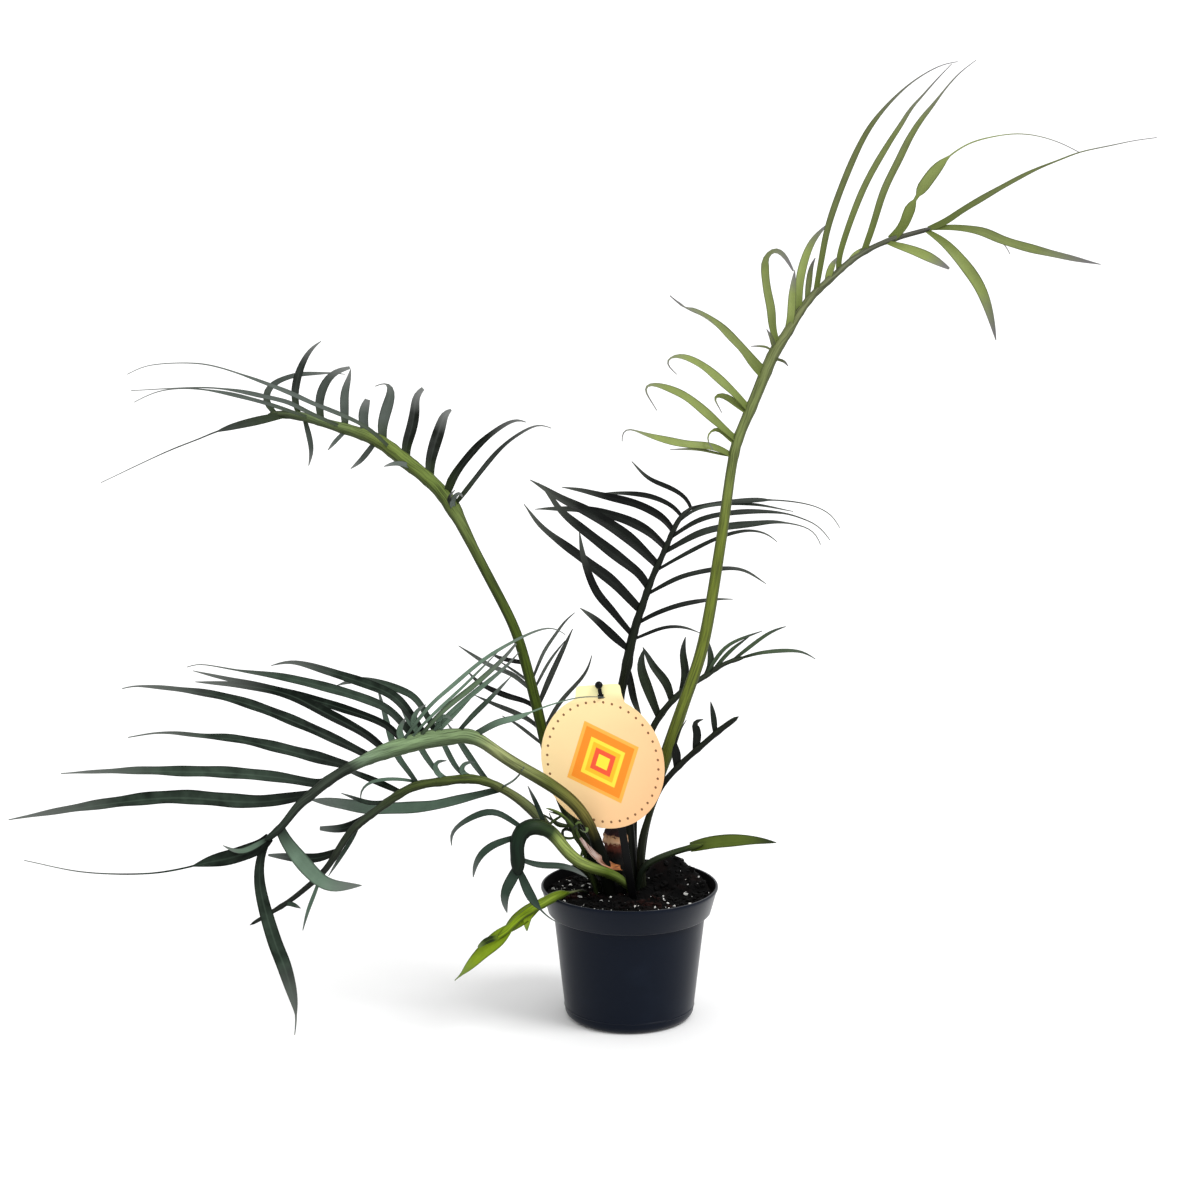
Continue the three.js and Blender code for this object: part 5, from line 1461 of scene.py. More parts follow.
HOOKED_LEAFLETS = (
    Leaflet(4.7, -10, ((-75, 125), (-81, 132), (-88.5, 136.5), (-96, 137.5), (-114, 129.5), (-121.5, 121.5),
        (-120.5, 114.5)), tone=0.7),
    Leaflet(5.4, -10, ((-76.5, 118.5), (-82, 118.5), (-91, 115.5), (-97.5, 111.5), (-102.5, 106),
        (-105, 100.5), (-106, 93)), tone=0.7),
    Leaflet(7.5, -6, ((-75.5, 99), (-78.5, 93.5), (-83.5, 85), (-85, 77.5), (-83, 69)), tone=0.6, belly=0.3),
    Leaflet(6.4, -4, ((-75, 96.5), (-72, 91), (-68, 81.5), (-60.5, 71), (-51, 63), (-46.5, 61.5)), tone=0.6,
        whip=0.65),
    Leaflet(4.7, 10, ((-75, 103.5), (-67.5, 102.5), (-60.5, 101), (-44, 100.5), (-36.5, 98), (-29, 93)),
        tone=0.5, belly=0.5),
    Leaflet(3.2, 4, ((-59, 127), (-61, 138), (-69, 155))),
)
LIME_LEAFLETS = (
    Leaflet(10.8, -12, ((-83, 57), (-93, 47.5), (-100, 41.5), (-113, 28), (-118.5, 23)), belly=0.24,
        neck=0.55, tone=0.7, whip=0.9),
    Leaflet(6.1, -3, ((-68, 70.5), (-69.5, 64.5), (-69.5, 56.5)), tone=1, belly=0.2),
    Leaflet(4.4, -6, ((-92, 52), (-96.5, 50), (-102.5, 45.5)), tone=0, belly=0.5, whip=1.1),
    Leaflet(10.6, -8, ((-60, 75.5), (-65.5, 72), (-71, 67), (-77, 62.5), (-84.5, 55.5)), tone=0.85,
        belly=0.55, neck=0.45, whip=1.05),
)
LANCE_LEAFLETS = (
    Leaflet(9.6, -14, ((43.5, 113.5), (56.5, 116.5), (82.5, 118), (99.5, 116.5)), belly=0.25, neck=0.7,
        tone=0.5),
)
SMALL_RIGHT_LEAFLETS = (
    Leaflet(5.8, -4, ((36.5, 165.5), (32, 175.5), (31, 183.5), (33.5, 191), (38.5, 199.5)), tone=0,
        belly=0.25, whip=0.5),
    Leaflet(5.6, -6, ((46, 180), (46, 191), (44, 198), (50, 200))),
    Leaflet(4, -6, ((60, 192), (57, 201), (55, 212))),
)
RIGHT_LEAFLETS = (
    Leaflet(3.1, 10, ((79, 243), (88, 245), (117, 246), (126, 241)), tone=0.9),
    Leaflet(7.1, -6, ((17.5, 206), (14, 216.5), (7.5, 235.5), (8, 242), (10, 248)), tone=0.1, belly=0.5),
    Leaflet(6.3, 8, ((29.5, 215.5), (25.5, 224), (16, 235.5), (12, 243.5), (9, 249)), tone=0.1),
    Leaflet(5.6, 8, ((37, 220), (38, 230), (36, 246), (38, 256))),
    Leaflet(4.8, 8, ((53, 230), (55, 236), (54, 252))),
    Leaflet(2.9, 12, ((52, 230), (65, 249), (74, 254), (90, 260)), tone=0.9),
    Leaflet(2.9, 6, ((59, 234), (69, 247), (81, 256)), tone=0.9),
    Leaflet(3, 8, ((72, 241), (97, 260), (106, 263)), tone=0.9),
)
YOUNG_LEAFLETS = (
    Leaflet(2.4, -10, ((-34, 114), (-38, 122), (-38, 127), (-35, 129), (-35, 125))),
    Leaflet(2, -5, ((-40, 130), (-47, 129), (-61, 137))),
    Leaflet(2, -6, ((-35, 123), (-42, 119), (-55, 126))),
    Leaflet(2, -5, ((-47, 137), (-53, 130), (-58, 125))),
    Leaflet(2, -6, ((-30, 109), (-34, 104), (-38, 110))),
    Leaflet(1.9, -6, ((-39.5, 130), (-43, 133.5), (-54.5, 137.5)), tone=0),
    Leaflet(1.9, -4, ((-39, 129.5), (-43, 127.5), (-48.5, 127.5), (-52, 131), (-54.5, 136.5)), tone=0),
    Leaflet(2.3, 4, ((-36.5, 121.5), (-40.5, 125.5), (-46, 125.5), (-45, 120.5), (-42.5, 116)), tone=0),
    Leaflet(3.5, 8, ((-39, 130), (-43.5, 140.5), (-46.5, 145)), tone=0, belly=0.6),
    Leaflet(2, -24, ((-35.5, 123.5), (-37.5, 129), (-35, 131.5), (-30, 129), (-27.5, 125), (-29.5, 122),
        (-33.5, 125.5)), tone=1, belly=0.5),
)

LEAVES = (
    # The tall leaf, arching up and to the right
    Leaf(
        node="leaf_tall", slot="olive_leaf", skin=TALL_SKIN,
        widths=(
            (0, 5.8), (0.079, 4.9), (0.098, 4.3), (0.135, 5.8), (0.182, 9.2), (0.248, 8.1), (0.314, 8.1),
            (0.548, 6.6), (0.585, 6.8), (0.685, 8.1), (0.742, 6.4), (0.772, 5.4), (0.895, 3.7), (1, 3.4),
        ),
        petiole=(
            (9, 82.5, 1), (7.5, 112.5, -1), (10, 125, -1), (13.5, 135, 0), (18.5, 154.5, 0), (26, 179, 0),
            (37.5, 213, -2), (49, 247, -3), (62.5, 324, -7),
        ),
        midrib=(
            (69.5, 373, -8), (73, 389.5, -6), (76, 396.5, -4), (86, 420, 3), (95.5, 443.5, 13),
            (99, 450.5, 18), (108, 463.5, 26), (115, 475.5, 35), (124.5, 488, 45), (138.5, 500.5, 57),
            (145, 507, 63), (162.5, 519, 76), (176.5, 525, 83), (205, 533, 91),
        ),
        leaflets=TALL_LEAFLETS,
    ),
    # The leaf that arches to the upper left
    Leaf(
        node="leaf_upper_left", slot="green_leaf", skin=UPPER_LEFT_SKIN, evening=20,
        widths=(
            (0, 9.5), (0.065, 8.8), (0.173, 7.5), (0.335, 7.3), (0.469, 6.8), (0.558, 6.8), (0.601, 8.5),
            (0.628, 10.5), (0.662, 9.5), (0.708, 9.2), (0.751, 9.8), (0.792, 9.2), (0.864, 7.5),
            (0.903, 6.1), (0.941, 5.8), (1, 4.7),
        ),
        petiole=(
            (-9, 84, 4), (-36.5, 126, 0), (-48.5, 152, 0), (-66.5, 223.5, 3), (-77.5, 261.5, 5),
            (-87, 280.5, 7), (-107, 318.5, 13),
        ),
        midrib=(
            (-117.5, 340, 16), (-122.5, 349, 21), (-141.5, 367.5, 35), (-155.5, 377.5, 44), (-168, 388.5, 55),
            (-208.5, 401.5, 80), (-222.5, 406, 89), (-245, 407, 104),
        ),
        leaflets=UPPER_LEFT_LEAFLETS,
    ),
    # The dark leaf in the middle
    Leaf(
        node="leaf_middle", slot="dark_leaf", skin=MIDDLE_SKIN,
        widths=(
            (0, 8.8), (0.318, 6.8), (0.481, 5.8), (0.546, 7.1), (0.587, 6.1), (0.765, 4.4), (0.913, 3.4),
            (1, 2.4),
        ),
        petiole=(
            (1, 82, 0), (1, 98.5, 3), (-1, 131.5, 8), (-7, 202.5, 11.5), (-6, 218.5, 12), (-1.5, 236.5, 13),
        ),
        midrib=(
            (0, 248, 14), (7.5, 274, 24), (10.5, 282, 27), (14, 293, 33), (24.5, 316, 44), (29.5, 328, 51),
            (35.5, 339, 57), (43.5, 344.5, 62),
        ),
        leaflets=MIDDLE_LEAFLETS,
    ),
    # The large leaf that reaches to the left, nearest the viewer
    Leaf(
        node="leaf_low_left", slot="deep_leaf", skin=LOW_LEFT_SKIN, evening=10,
        widths=(
            (0, 8.8), (0.066, 9.5), (0.102, 8.8), (0.132, 7.5), (0.203, 8.1), (0.288, 8.8), (0.381, 8.1),
            (0.415, 8.1), (0.449, 9.5), (0.537, 11.5), (0.633, 10.5), (0.697, 7.5), (0.738, 6.8),
            (0.854, 6.4), (0.918, 5.1), (1, 4.1),
        ),
        petiole=(
            (-13, 80, -7), (-17.5, 103, -12), (-21.5, 112.5, -16), (-24.5, 123.5, -22), (-37, 143, -33),
            (-60.5, 160, -43), (-74, 167.5, -48), (-88, 176.5, -53),
        ),
        midrib=(
            (-108, 189.5, -60), (-121.5, 188, -67), (-135.5, 187, -76), (-149, 183.5, -87),
            (-162.5, 179.5, -96), (-176, 174, -107), (-189.5, 167.5, -120), (-203, 159.5, -132),
            (-216.5, 148.5, -146), (-223.5, 143, -152), (-235, 128, -165), (-240.5, 122.5, -169),
            (-247, 118, -176),
        ),
        leaflets=LOW_LEFT_LEAFLETS,
    ),
    # The dark leaf behind the upper left one
    Leaf(
        node="leaf_behind_left", slot="dark_leaf", skin=BEHIND_LEFT_SKIN,
        widths=((0, 4.7), (0.63, 4.1), (1, 2.7)),
        petiole=((-14, 86, 12), (-21, 103, 18), (-38, 137, 22), (-50, 164, 25)),
        midrib=((-57, 184, 27), (-66, 226, 31), (-71, 247, 33)),
        leaflets=BEHIND_LEFT_LEAFLETS,
    ),
    # The leaf that arches down to the left behind the large one
    Leaf(
        node="leaf_arch", slot="deep_leaf", skin=ARCH_SKIN,
        widths=(
            (0, 5.4), (0.159, 7.1), (0.237, 7.1), (0.312, 5.4), (0.393, 6.1), (0.579, 5.4), (0.756, 4.4),
            (1, 2.4),
        ),
        petiole=(
            (-20, 82.5, 4), (-27, 96.5, 2), (-38.5, 107, -2), (-51.5, 121.5, -7), (-59.5, 131.5, -10),
            (-68, 140.5, -12), (-77.5, 148, -14),
        ),
        midrib=(
            (-88, 154, -15), (-98, 158.5, -18), (-112, 160, -24), (-129, 157.5, -30), (-146, 155, -37),
            (-182.5, 130, -56), (-189.5, 124, -61), (-206.5, 97.5, -75), (-221.5, 84, -83),
            (-229.5, 77.5, -87), (-257.5, 60.5, -102),
        ),
        leaflets=ARCH_LEAFLETS,
    ),
    # The small hooked leaf over the pot's left edge
    Leaf(
        node="leaf_hooked", slot="deep_leaf", skin=HOOKED_SKIN,
        widths=(
            (0, 5.4), (0.111, 6.4), (0.175, 6.8), (0.289, 7.5), (0.379, 8.1), (0.492, 8.5), (0.614, 9.8),
            (0.682, 11.2), (0.736, 10.8), (0.821, 9.8), (0.925, 9.2), (1, 6.1),
        ),
        petiole=(
            (1, 85.5, -4), (-1.5, 87.5, -9), (-6.5, 92, -15), (-12.5, 95.5, -20), (-26, 99.5, -26),
            (-36.5, 104.5, -29), (-46.5, 115.5, -32), (-52, 123.5, -34),
        ),
        midrib=(
            (-57.5, 126.5, -37), (-65.5, 128.5, -40), (-72, 126, -43), (-76.5, 119.5, -44), (-75.5, 103, -48),
            (-75.5, 93, -49),
        ),
        leaflets=HOOKED_LEAFLETS,
    ),
    # The low lime leaf that hangs over the rim
    Leaf(
        node="leaf_lime", slot="lime_leaf", skin=LIME_SKIN,
        widths=(
            (0, 1.5), (0.173, 1.6), (0.276, 2.3), (0.352, 6.1), (0.44, 7.1), (0.57, 6.4), (0.723, 5.4),
            (1, 4.1),
        ),
        petiole=((-27.5, 82, -2), (-29.5, 84, -5), (-32, 85, -9), (-35.5, 83.5, -15)),
        midrib=(
            (-35.5, 83.5, -15), (-40.5, 82.5, -21), (-45, 82, -26), (-52, 79.5, -33), (-60.5, 74.5, -40),
            (-72, 68, -45), (-83.5, 56.5, -50), (-90, 51, -52),
        ),
        leaflets=LIME_LEAFLETS,
    ),
    # The undivided leaf on the right
    Leaf(
        node="leaf_lance", slot="olive_leaf", skin=LANCE_SKIN,
        widths=((0, 4.7), (0.78, 4.1), (1, 4.1)),
        petiole=((6, 87, -1), (7.5, 97.5, -4), (11.5, 102, -6), (27, 109, -12), (38.5, 112.5, -15)),
        midrib=((38.5, 112.5, -15), (45, 114, -18), (50.5, 115.5, -20)),
        leaflets=LANCE_LEAFLETS,
    ),
    # The small dark leaf on the right
    Leaf(
        node="leaf_small_right", slot="dark_leaf", skin=SMALL_RIGHT_SKIN,
        widths=((0, 4.4), (0.54, 4.1), (1, 3.8)),
        petiole=((7, 80, 8), (8, 101, 7), (11, 125, 6), (15.5, 141.5, 4)),
        midrib=((23, 157, -11), (36, 171, -17), (51, 184, -25), (60, 192, -31), (74, 202, -39)),
        leaflets=SMALL_RIGHT_LEAFLETS,
    ),
    # The dark leaf behind the tall one's petiole
    Leaf(
        node="leaf_right", slot="dark_leaf", skin=RIGHT_SKIN,
        widths=((0, 5.1), (0.56, 4.7), (1, 2.7)),
        petiole=((4.5, 86, 12), (3, 103.5, 13), (3.5, 145, 17), (9, 175, 20)),
        midrib=(
            (15.5, 194.5, 22), (20.5, 202.5, 24), (29, 213, 26), (41, 223.5, 29), (48, 227, 34),
            (64, 238, 42), (79, 242.5, 48),
        ),
        leaflets=RIGHT_LEAFLETS,
    ),
    # The young leaf, still curled
    Leaf(
        node="leaf_young", slot="green_leaf", skin=YOUNG_SKIN,
        widths=((0, 3.1), (0.6, 2.4), (1, 1.7)),
        petiole=((-22, 81, -6), (-27, 98, -11), (-35, 123, -15)),
        midrib=((-35, 123, -15), (-43, 133, -17), (-53, 140, -21), (-57, 140, -23)),
        leaflets=YOUNG_LEAFLETS,
    ),
)


def cut(piece: Object, cutter: Object) -> None:
    """Cuts one closed piece out of another and removes the cutter.

    Args:
        piece: The piece that is cut.
        cutter: The piece whose room is taken away.
    """
    knife = piece.modifiers.new("cut", "BOOLEAN")
    knife.operation = "DIFFERENCE"
    knife.solver = "EXACT"
    knife.object = cutter
    bpy.context.view_layer.update()
    shaped = piece.evaluated_get(bpy.context.evaluated_depsgraph_get())
    fresh = bpy.data.meshes.new_from_object(shaped)
    old, piece.data = piece.data, fresh
    piece.modifiers.clear()
    bpy.data.meshes.remove(old)
    bpy.data.objects.remove(cutter)


def round_edges(piece: Object, width_mm: float, segments: int = 2, angle: float = 40.0) -> None:
    """Rounds a piece's sharp edges with a live Bevel modifier.

    Args:
        piece: The piece.
        width_mm: How wide the rounding is.
        segments: How many faces make it up.
        angle: Edges sharper than this angle, in degrees, are rounded.
    """
    edge = piece.modifiers.new("rounded", "BEVEL")
    edge.limit_method = "ANGLE"
    edge.angle_limit = math.radians(angle)
    edge.width = width_mm * MM
    edge.segments = segments
    edge.harden_normals = False


@dataclass(frozen=True)
class Pot:
    """The nursery pot: a tapered wall, a stepped band under the lip, and drain holes in the base.

    Attributes:
        height: Height of the rim.
        band_height: Height of the band under the rim.
        band_foot: Outside radius at the band's foot.
        body_top: Outside radius of the wall just under the band.
        base: Outside radius of the base.
        corner: Size of the rounding between base and wall.
        lip: How far the lip stands out over the band.
        drains: How many holes the base has.
        drain_radius: Radius of a hole.
        drain_circle: Radius of the circle that the holes stand on.
    """

    AROUND = 160
    CORNER_STEPS = 6
    # The moulding seam: how far over the corner it starts, then its rises from there and how far out it is
    SEAM_RISE = 1.5
    SEAM = ((0.0, 0.0), (0.3, 0.25), (0.7, 0.25), (1.0, 0.0))

    height: float = 92.0
    band_height: float = 18.0
    band_foot: float = 55.2
    body_top: float = 51.4
    base: float = 44.0
    corner: float = 6.0
    lip: float = 0.8
    drains: int = 8
    drain_radius: float = 4.0
    drain_circle: float = 30.0

    def profile(self) -> list[Pair]:
        """Gives the wall's outline.

        Returns:
            Radius and height of its points, from the middle of the underside round to the inside's middle.
        """
        foot = self.height - self.band_height
        inner_body = self.body_top - POT_WALL
        inner_base = self.base - POT_WALL
        swing = [math.radians(90 * i / self.CORNER_STEPS) for i in range(self.CORNER_STEPS + 1)]
        rounding = [
            (self.base - self.corner * (1 - math.sin(a)), self.corner * (1 - math.cos(a))) for a in swing
        ]
        slant = (self.body_top - self.base) / (foot - POT_WALL - self.corner)
        ridge = [
            (self.base + slant * (self.SEAM_RISE + rise) + out, self.corner + self.SEAM_RISE + rise)
            for rise, out in self.SEAM
        ]
        return [
            (0.0, 0.0),
            *rounding,
            *ridge,
            (self.body_top, foot - POT_WALL),
            (self.body_top + 0.6, foot - POT_WALL + 0.5),
            (self.band_foot - 0.6, foot - 0.2),
            (self.band_foot, foot + 0.4),
            (RIM_RADIUS - self.lip, self.height - 2 * POT_WALL),
            (RIM_RADIUS, self.height - POT_WALL),
            (RIM_RADIUS, self.height - 0.6),
            (RIM_RADIUS - self.lip / 2, self.height),
            (RIM_RADIUS - POT_WALL, self.height),
            (self.band_foot - POT_WALL, foot + POT_WALL),
            (inner_body, foot),
            (inner_base, self.corner),
            (inner_base - 0.7 * self.corner, POT_WALL),
            (0.0, POT_WALL),
        ]

    def build(self) -> Object:
        """Spins the wall, drills the base and dresses it.

        Returns:
            The pot.
        """
        mesh = bmesh.new()
        lathe(mesh, self.profile(), self.AROUND)
        piece = settle(mesh, "nursery_pot", [POT_PLASTIC.material(), POT_INSIDE_SHADE.material()], 35.0)
        # Faces that look in toward the axis, above the base, take the inside finish: painted shade inside the
        # pot
        for face in piece.data.polygons:
            inward = face.center.x * face.normal.x + face.center.y * face.normal.y < 0
            face.material_index = int(inward and face.center.z > POT_WALL * MM)
        drills = bmesh.new()
        for i in range(self.drains):
            angle = (i + 0.5) * 2 * math.pi / self.drains
            place = Vector((self.drain_circle * math.cos(angle), self.drain_circle * math.sin(angle), 0.0))
            bmesh.ops.create_cone(
                drills, cap_ends=True, segments=24, radius1=self.drain_radius * MM,
                radius2=self.drain_radius * MM, depth=6 * POT_WALL * MM,
                matrix=Matrix.Translation(place * MM),
            )
        cut(piece, settle(drills, "drills", []))
        round_edges(piece, 0.3)
        stand_in(piece, "pot_plastic", "pot")
        return piece


@dataclass(frozen=True)
class Soil:
    """The potting mix: a lumpy top, with bark crumbs and perlite grains lying on it.

    Attributes:
        pot: The pot that it fills.
        lump: Height of the lumps.
        heap: Middle of the heap at the right rear.
        heap_rise: Height of the heap.
        heap_spread: How far out the heap falls off.
        crumbs: How many bark crumbs lie on it.
        grains: How many perlite grains lie on it.
    """

    AROUND = 128
    RINGS = 30
    # Height, width and noise level of the roughness, coarse and fine, in mm
    ROUGHNESS = ((0.9, 4.0, 0.0), (0.6, 1.7, 9.0))
    # Least and greatest stretch of a scattered body, each way
    STRETCHES = ((0.7, 1.5), (0.6, 1.0), (0.5, 0.9))
    # How far its corners are pushed about, as a share of its radius
    PUSH = 0.18
    # How much oftener small bodies come than large ones
    SMALLNESS = 2.2

    pot: Pot
    lump: float = 1.4
    heap: Pair = (28.0, 30.0)
    heap_rise: float = 17.0
    heap_spread: float = 17.0
    crumbs: int = 900
    grains: int = 125

    @property
    def edge(self) -> float:
        """Radius of the soil's top."""
        slope = (RIM_RADIUS - self.pot.band_foot) / self.pot.band_height
        foot = self.pot.height - self.pot.band_height
        return self.pot.band_foot - POT_WALL - GAP + slope * (SOIL_TOP - foot - 2 * POT_WALL)

    def height_at(self, x: float, y: float) -> float:
        """Gives the height of the soil's top, in mm.

        Args:
            x: Place across, in mm.
            y: Place in depth, in mm.

        Returns:
            The height above the floor.
        """
        waves = math.sin(0.21 * x + 0.5) * math.cos(0.17 * y) + 0.6 * math.sin(0.37 * y - 0.29 * x)
        outward = min(1.0, math.hypot(x, y) / RIM_RADIUS)
        from_heap = math.hypot(x - self.heap[0], y - self.heap[1]) / self.heap_spread
        heap = self.heap_rise * math.exp(-(from_heap ** 2) / 2) * (1 - outward ** 8)
        rough = sum(
            rise * noise.noise(Vector((x, y, level)) / width) for rise, width, level in self.ROUGHNESS
        )
        return SOIL_TOP + self.lump * (1 - outward ** 4) * (waves + 0.8) + heap + rough

    def _filling(self) -> Object:
        """Builds the body of the soil.

        Returns:
            The bed.
        """
        foot = self.pot.height - self.pot.band_height
        inner_base = self.pot.base - POT_WALL - GAP
        profile = [
            (0.0, POT_WALL + GAP),
            (inner_base - 0.7 * self.pot.corner, POT_WALL + GAP),
            (inner_base, self.pot.corner),
            (self.pot.body_top - POT_WALL - GAP, foot + GAP / 2),
            (self.pot.band_foot - POT_WALL - GAP, foot + POT_WALL + 2 * GAP),
            *[(self.edge * (1 - i / self.RINGS), SOIL_TOP) for i in range(self.RINGS + 1)],
        ]
        mesh = bmesh.new()
        lathe(mesh, profile, self.AROUND)
        for vert in mesh.verts:
            x, y = vert.co.x / MM, vert.co.y / MM
            if vert.co.z > (SOIL_TOP - GAP) * MM and math.hypot(x, y) < self.edge - 1:
                vert.co.z = self.height_at(x, y) * MM
        piece = settle(mesh, "potting_mix_bed", [PEAT.material()], 60.0)
        stand_in(piece, "potting_mix", "soil")
        return piece

    def _scattered(
        self, name: str, finish: Mottled, count: int, sizes: Pair, sink: float,
        bias: Callable[[float, float], bool],
    ) -> Object:
        """Scatters small rough bodies over the soil as one piece.

        Args:
            name: The piece's name.
            finish: What they are made of.
            count: How many there are.
            sizes: Least and greatest radius, in mm.
            sink: How far their middles lie over the soil, as a share of their radius.
            bias: Says whether a place, in mm, may take one.

        Returns:
            The piece.
        """
        draw = random.Random(name)
        mesh = bmesh.new()
        placed = 0
        while placed < count:
            angle, out = draw.uniform(0, 2 * math.pi), math.sqrt(draw.random())
            radius = sizes[0] + (sizes[1] - sizes[0]) * draw.random() ** self.SMALLNESS
            x = out * (self.edge - radius - 0.6) * math.cos(angle)
            y = out * (self.edge - radius - 0.6) * math.sin(angle)
            if not bias(x, y):
                continue
            placed += 1
            size = [draw.uniform(*limits) for limits in self.STRETCHES]
            shape = Matrix.Diagonal((*size, 1.0))
            turn = Matrix.Rotation(draw.uniform(0, math.pi), 4, "Z")
            turn @= Matrix.Rotation(draw.uniform(-0.6, 0.6), 4, "X")
            place = Matrix.Translation(Vector((x, y, self.height_at(x, y) + sink * radius)) * MM)
            made = bmesh.ops.create_icosphere(
                mesh, subdivisions=1, radius=radius * MM, matrix=place @ turn @ shape
            )["verts"]
            for vert in made:
                vert.co += Vector([draw.uniform(-self.PUSH, self.PUSH) * radius * MM for _ in range(3)])
        piece = settle(mesh, name, [finish.material()], 35.0)
        stand_in(piece, "potting_mix")
        return piece

    def build(self) -> list[Object]:
        """Builds the bed and what lies on it.

        Returns:
            The bed, the crumbs and the grains.
        """
        draw = random.Random("perlite bias")

        def near_rim(x: float, y: float) -> bool:
            """Lets most grains lie toward the rim, and fewer at the rear and on the right."""
            share = 0.45 + 0.4 * (math.hypot(x, y) > 36) - 0.25 * (y > 10) - 0.15 * (x > 20)
            return draw.random() < share

        return [
            self._filling(),
            self._scattered("bark_crumbs", BARK_CRUMB, self.crumbs, (0.5, 2.6), 0.15, lambda x, y: True),
            self._scattered("perlite_grains", PERLITE, self.grains, (0.35, 1.8), 0.4, near_rim),
        ]


@dataclass(frozen=True)
class Stem:
    """The short stub among the feet of the leaves.

    Attributes:
        centre: Where it stands.
        rings: Radius and height of each ring of its outline.
    """

    AROUND = 48
    STEPS = 40
    TILT = 0.1
    TILT_FROM = 92.0
    # Height and width of the lumps, coarse and fine, in mm
    LUMPS = ((1.3, 5.0), (0.5, 1.8))
    # Height of the old leaves' rings in mm, their turns for each mm, and how unevenly they run round
    SCARS = (0.35, 1.3, 0.8)

    centre: Pair = (-6.0, 6.0)
    rings: tuple[Pair, ...] = (
        (8.0, 64.0), (9.0, 84.0), (10.0, 92.0), (9.0, 98.0), (9.5, 104.0), (9.0, 111.0), (8.6, 118.0),
        (8.0, 125.0), (6.0, 129.5), (2.0, 131.0),
    )

    def build(self) -> Object:
        """Spins the stub and roughens it with lumps and the rings that old leaves left.

        Returns:
            The stub.
        """
        line = SmoothLine([(radius, height, 0.0) for radius, height in self.rings])
        outline = [line.at(i / self.STEPS) for i in range(self.STEPS + 1)]
        profile = [(0.0, self.rings[0][1]), *[(p.x, p.y) for p in outline], (0.0, self.rings[-1][1])]
        mesh = bmesh.new()
        lathe(mesh, profile, self.AROUND)
        for vert in mesh.verts:
            height = vert.co.z / MM
            lump = sum(rise * noise.noise(vert.co / (width * MM)) for rise, width in self.LUMPS)
            rise, pace, slew = self.SCARS
            scar = rise * math.cos(height * pace + slew * math.sin(math.atan2(vert.co.y, vert.co.x)))
            out = Vector((vert.co.x, vert.co.y, 0.0))
            if out.length > MM:
                vert.co += out.normalized() * (lump + scar) * MM
            tilt = self.TILT * max(0.0, height - self.TILT_FROM)
            vert.co += Vector((self.centre[0] - tilt, self.centre[1], 0.0)) * MM
        piece = settle(mesh, "stem_stub", [STEM_SKIN.material()], 60.0)
        stand_in(piece, "stem_bark", "stem")
        return piece


@dataclass(frozen=True)
class DrySheath:
    """The dry sheath that a young leaf left behind, curling away from the stem.

    Attributes:
        path: Its middle line on the sheet, with depth.
        width: Full width at its broadest.
    """

    STEPS = 26
    AROUND = 20

    path: tuple[Triple, ...] = (
        (-6.0, 99.0, -5.0), (-12.0, 100.0, -13.0), (-18.5, 103.0, -19.0), (-25.0, 108.5, -25.0),
        (-30.0, 114.5, -29.0), (-33.5, 119.5, -30.0),
    )
    width: float = 6.6

    def build(self) -> Object:
        """Rolls the sheath as a thin, deeply cupped strip with a crinkled margin.

        Returns:
            The sheath.
        """
        def section(share: float) -> Triple:
            """Gives the sheath's half sizes and turn."""
            return self.width / 2 * math.sin(math.pi * (0.2 + 0.7 * share)), 0.45, 0.5 * share

        def outline(share: float, station: Station) -> Pair:
            """Gives the sheath's cupped and crinkled outline."""
            across = math.cos(2 * math.pi * share)
            crinkle = 0.25 * noise.noise(Vector((across * 3, station.along * 9, 0.0)))
            cup = 0.7 * station.half_width * (across * across - 0.4)
            height = station.half_depth * math.sin(2 * math.pi * share) + cup + crinkle
            return station.half_width * across, height

        line = SmoothLine(self.path)
        centres = [in_space(line.at(i / self.STEPS)) for i in range(self.STEPS + 1)]
        mesh = new_tube_mesh()
        roll_tube(mesh, stations(centres, section), self.AROUND, outline, (0, 0))
        piece = settle(mesh, "papery_sheath", [SHEATH_SKIN.material()])
        stand_in(piece, "dry_sheath", "dry_sheath")
        return piece


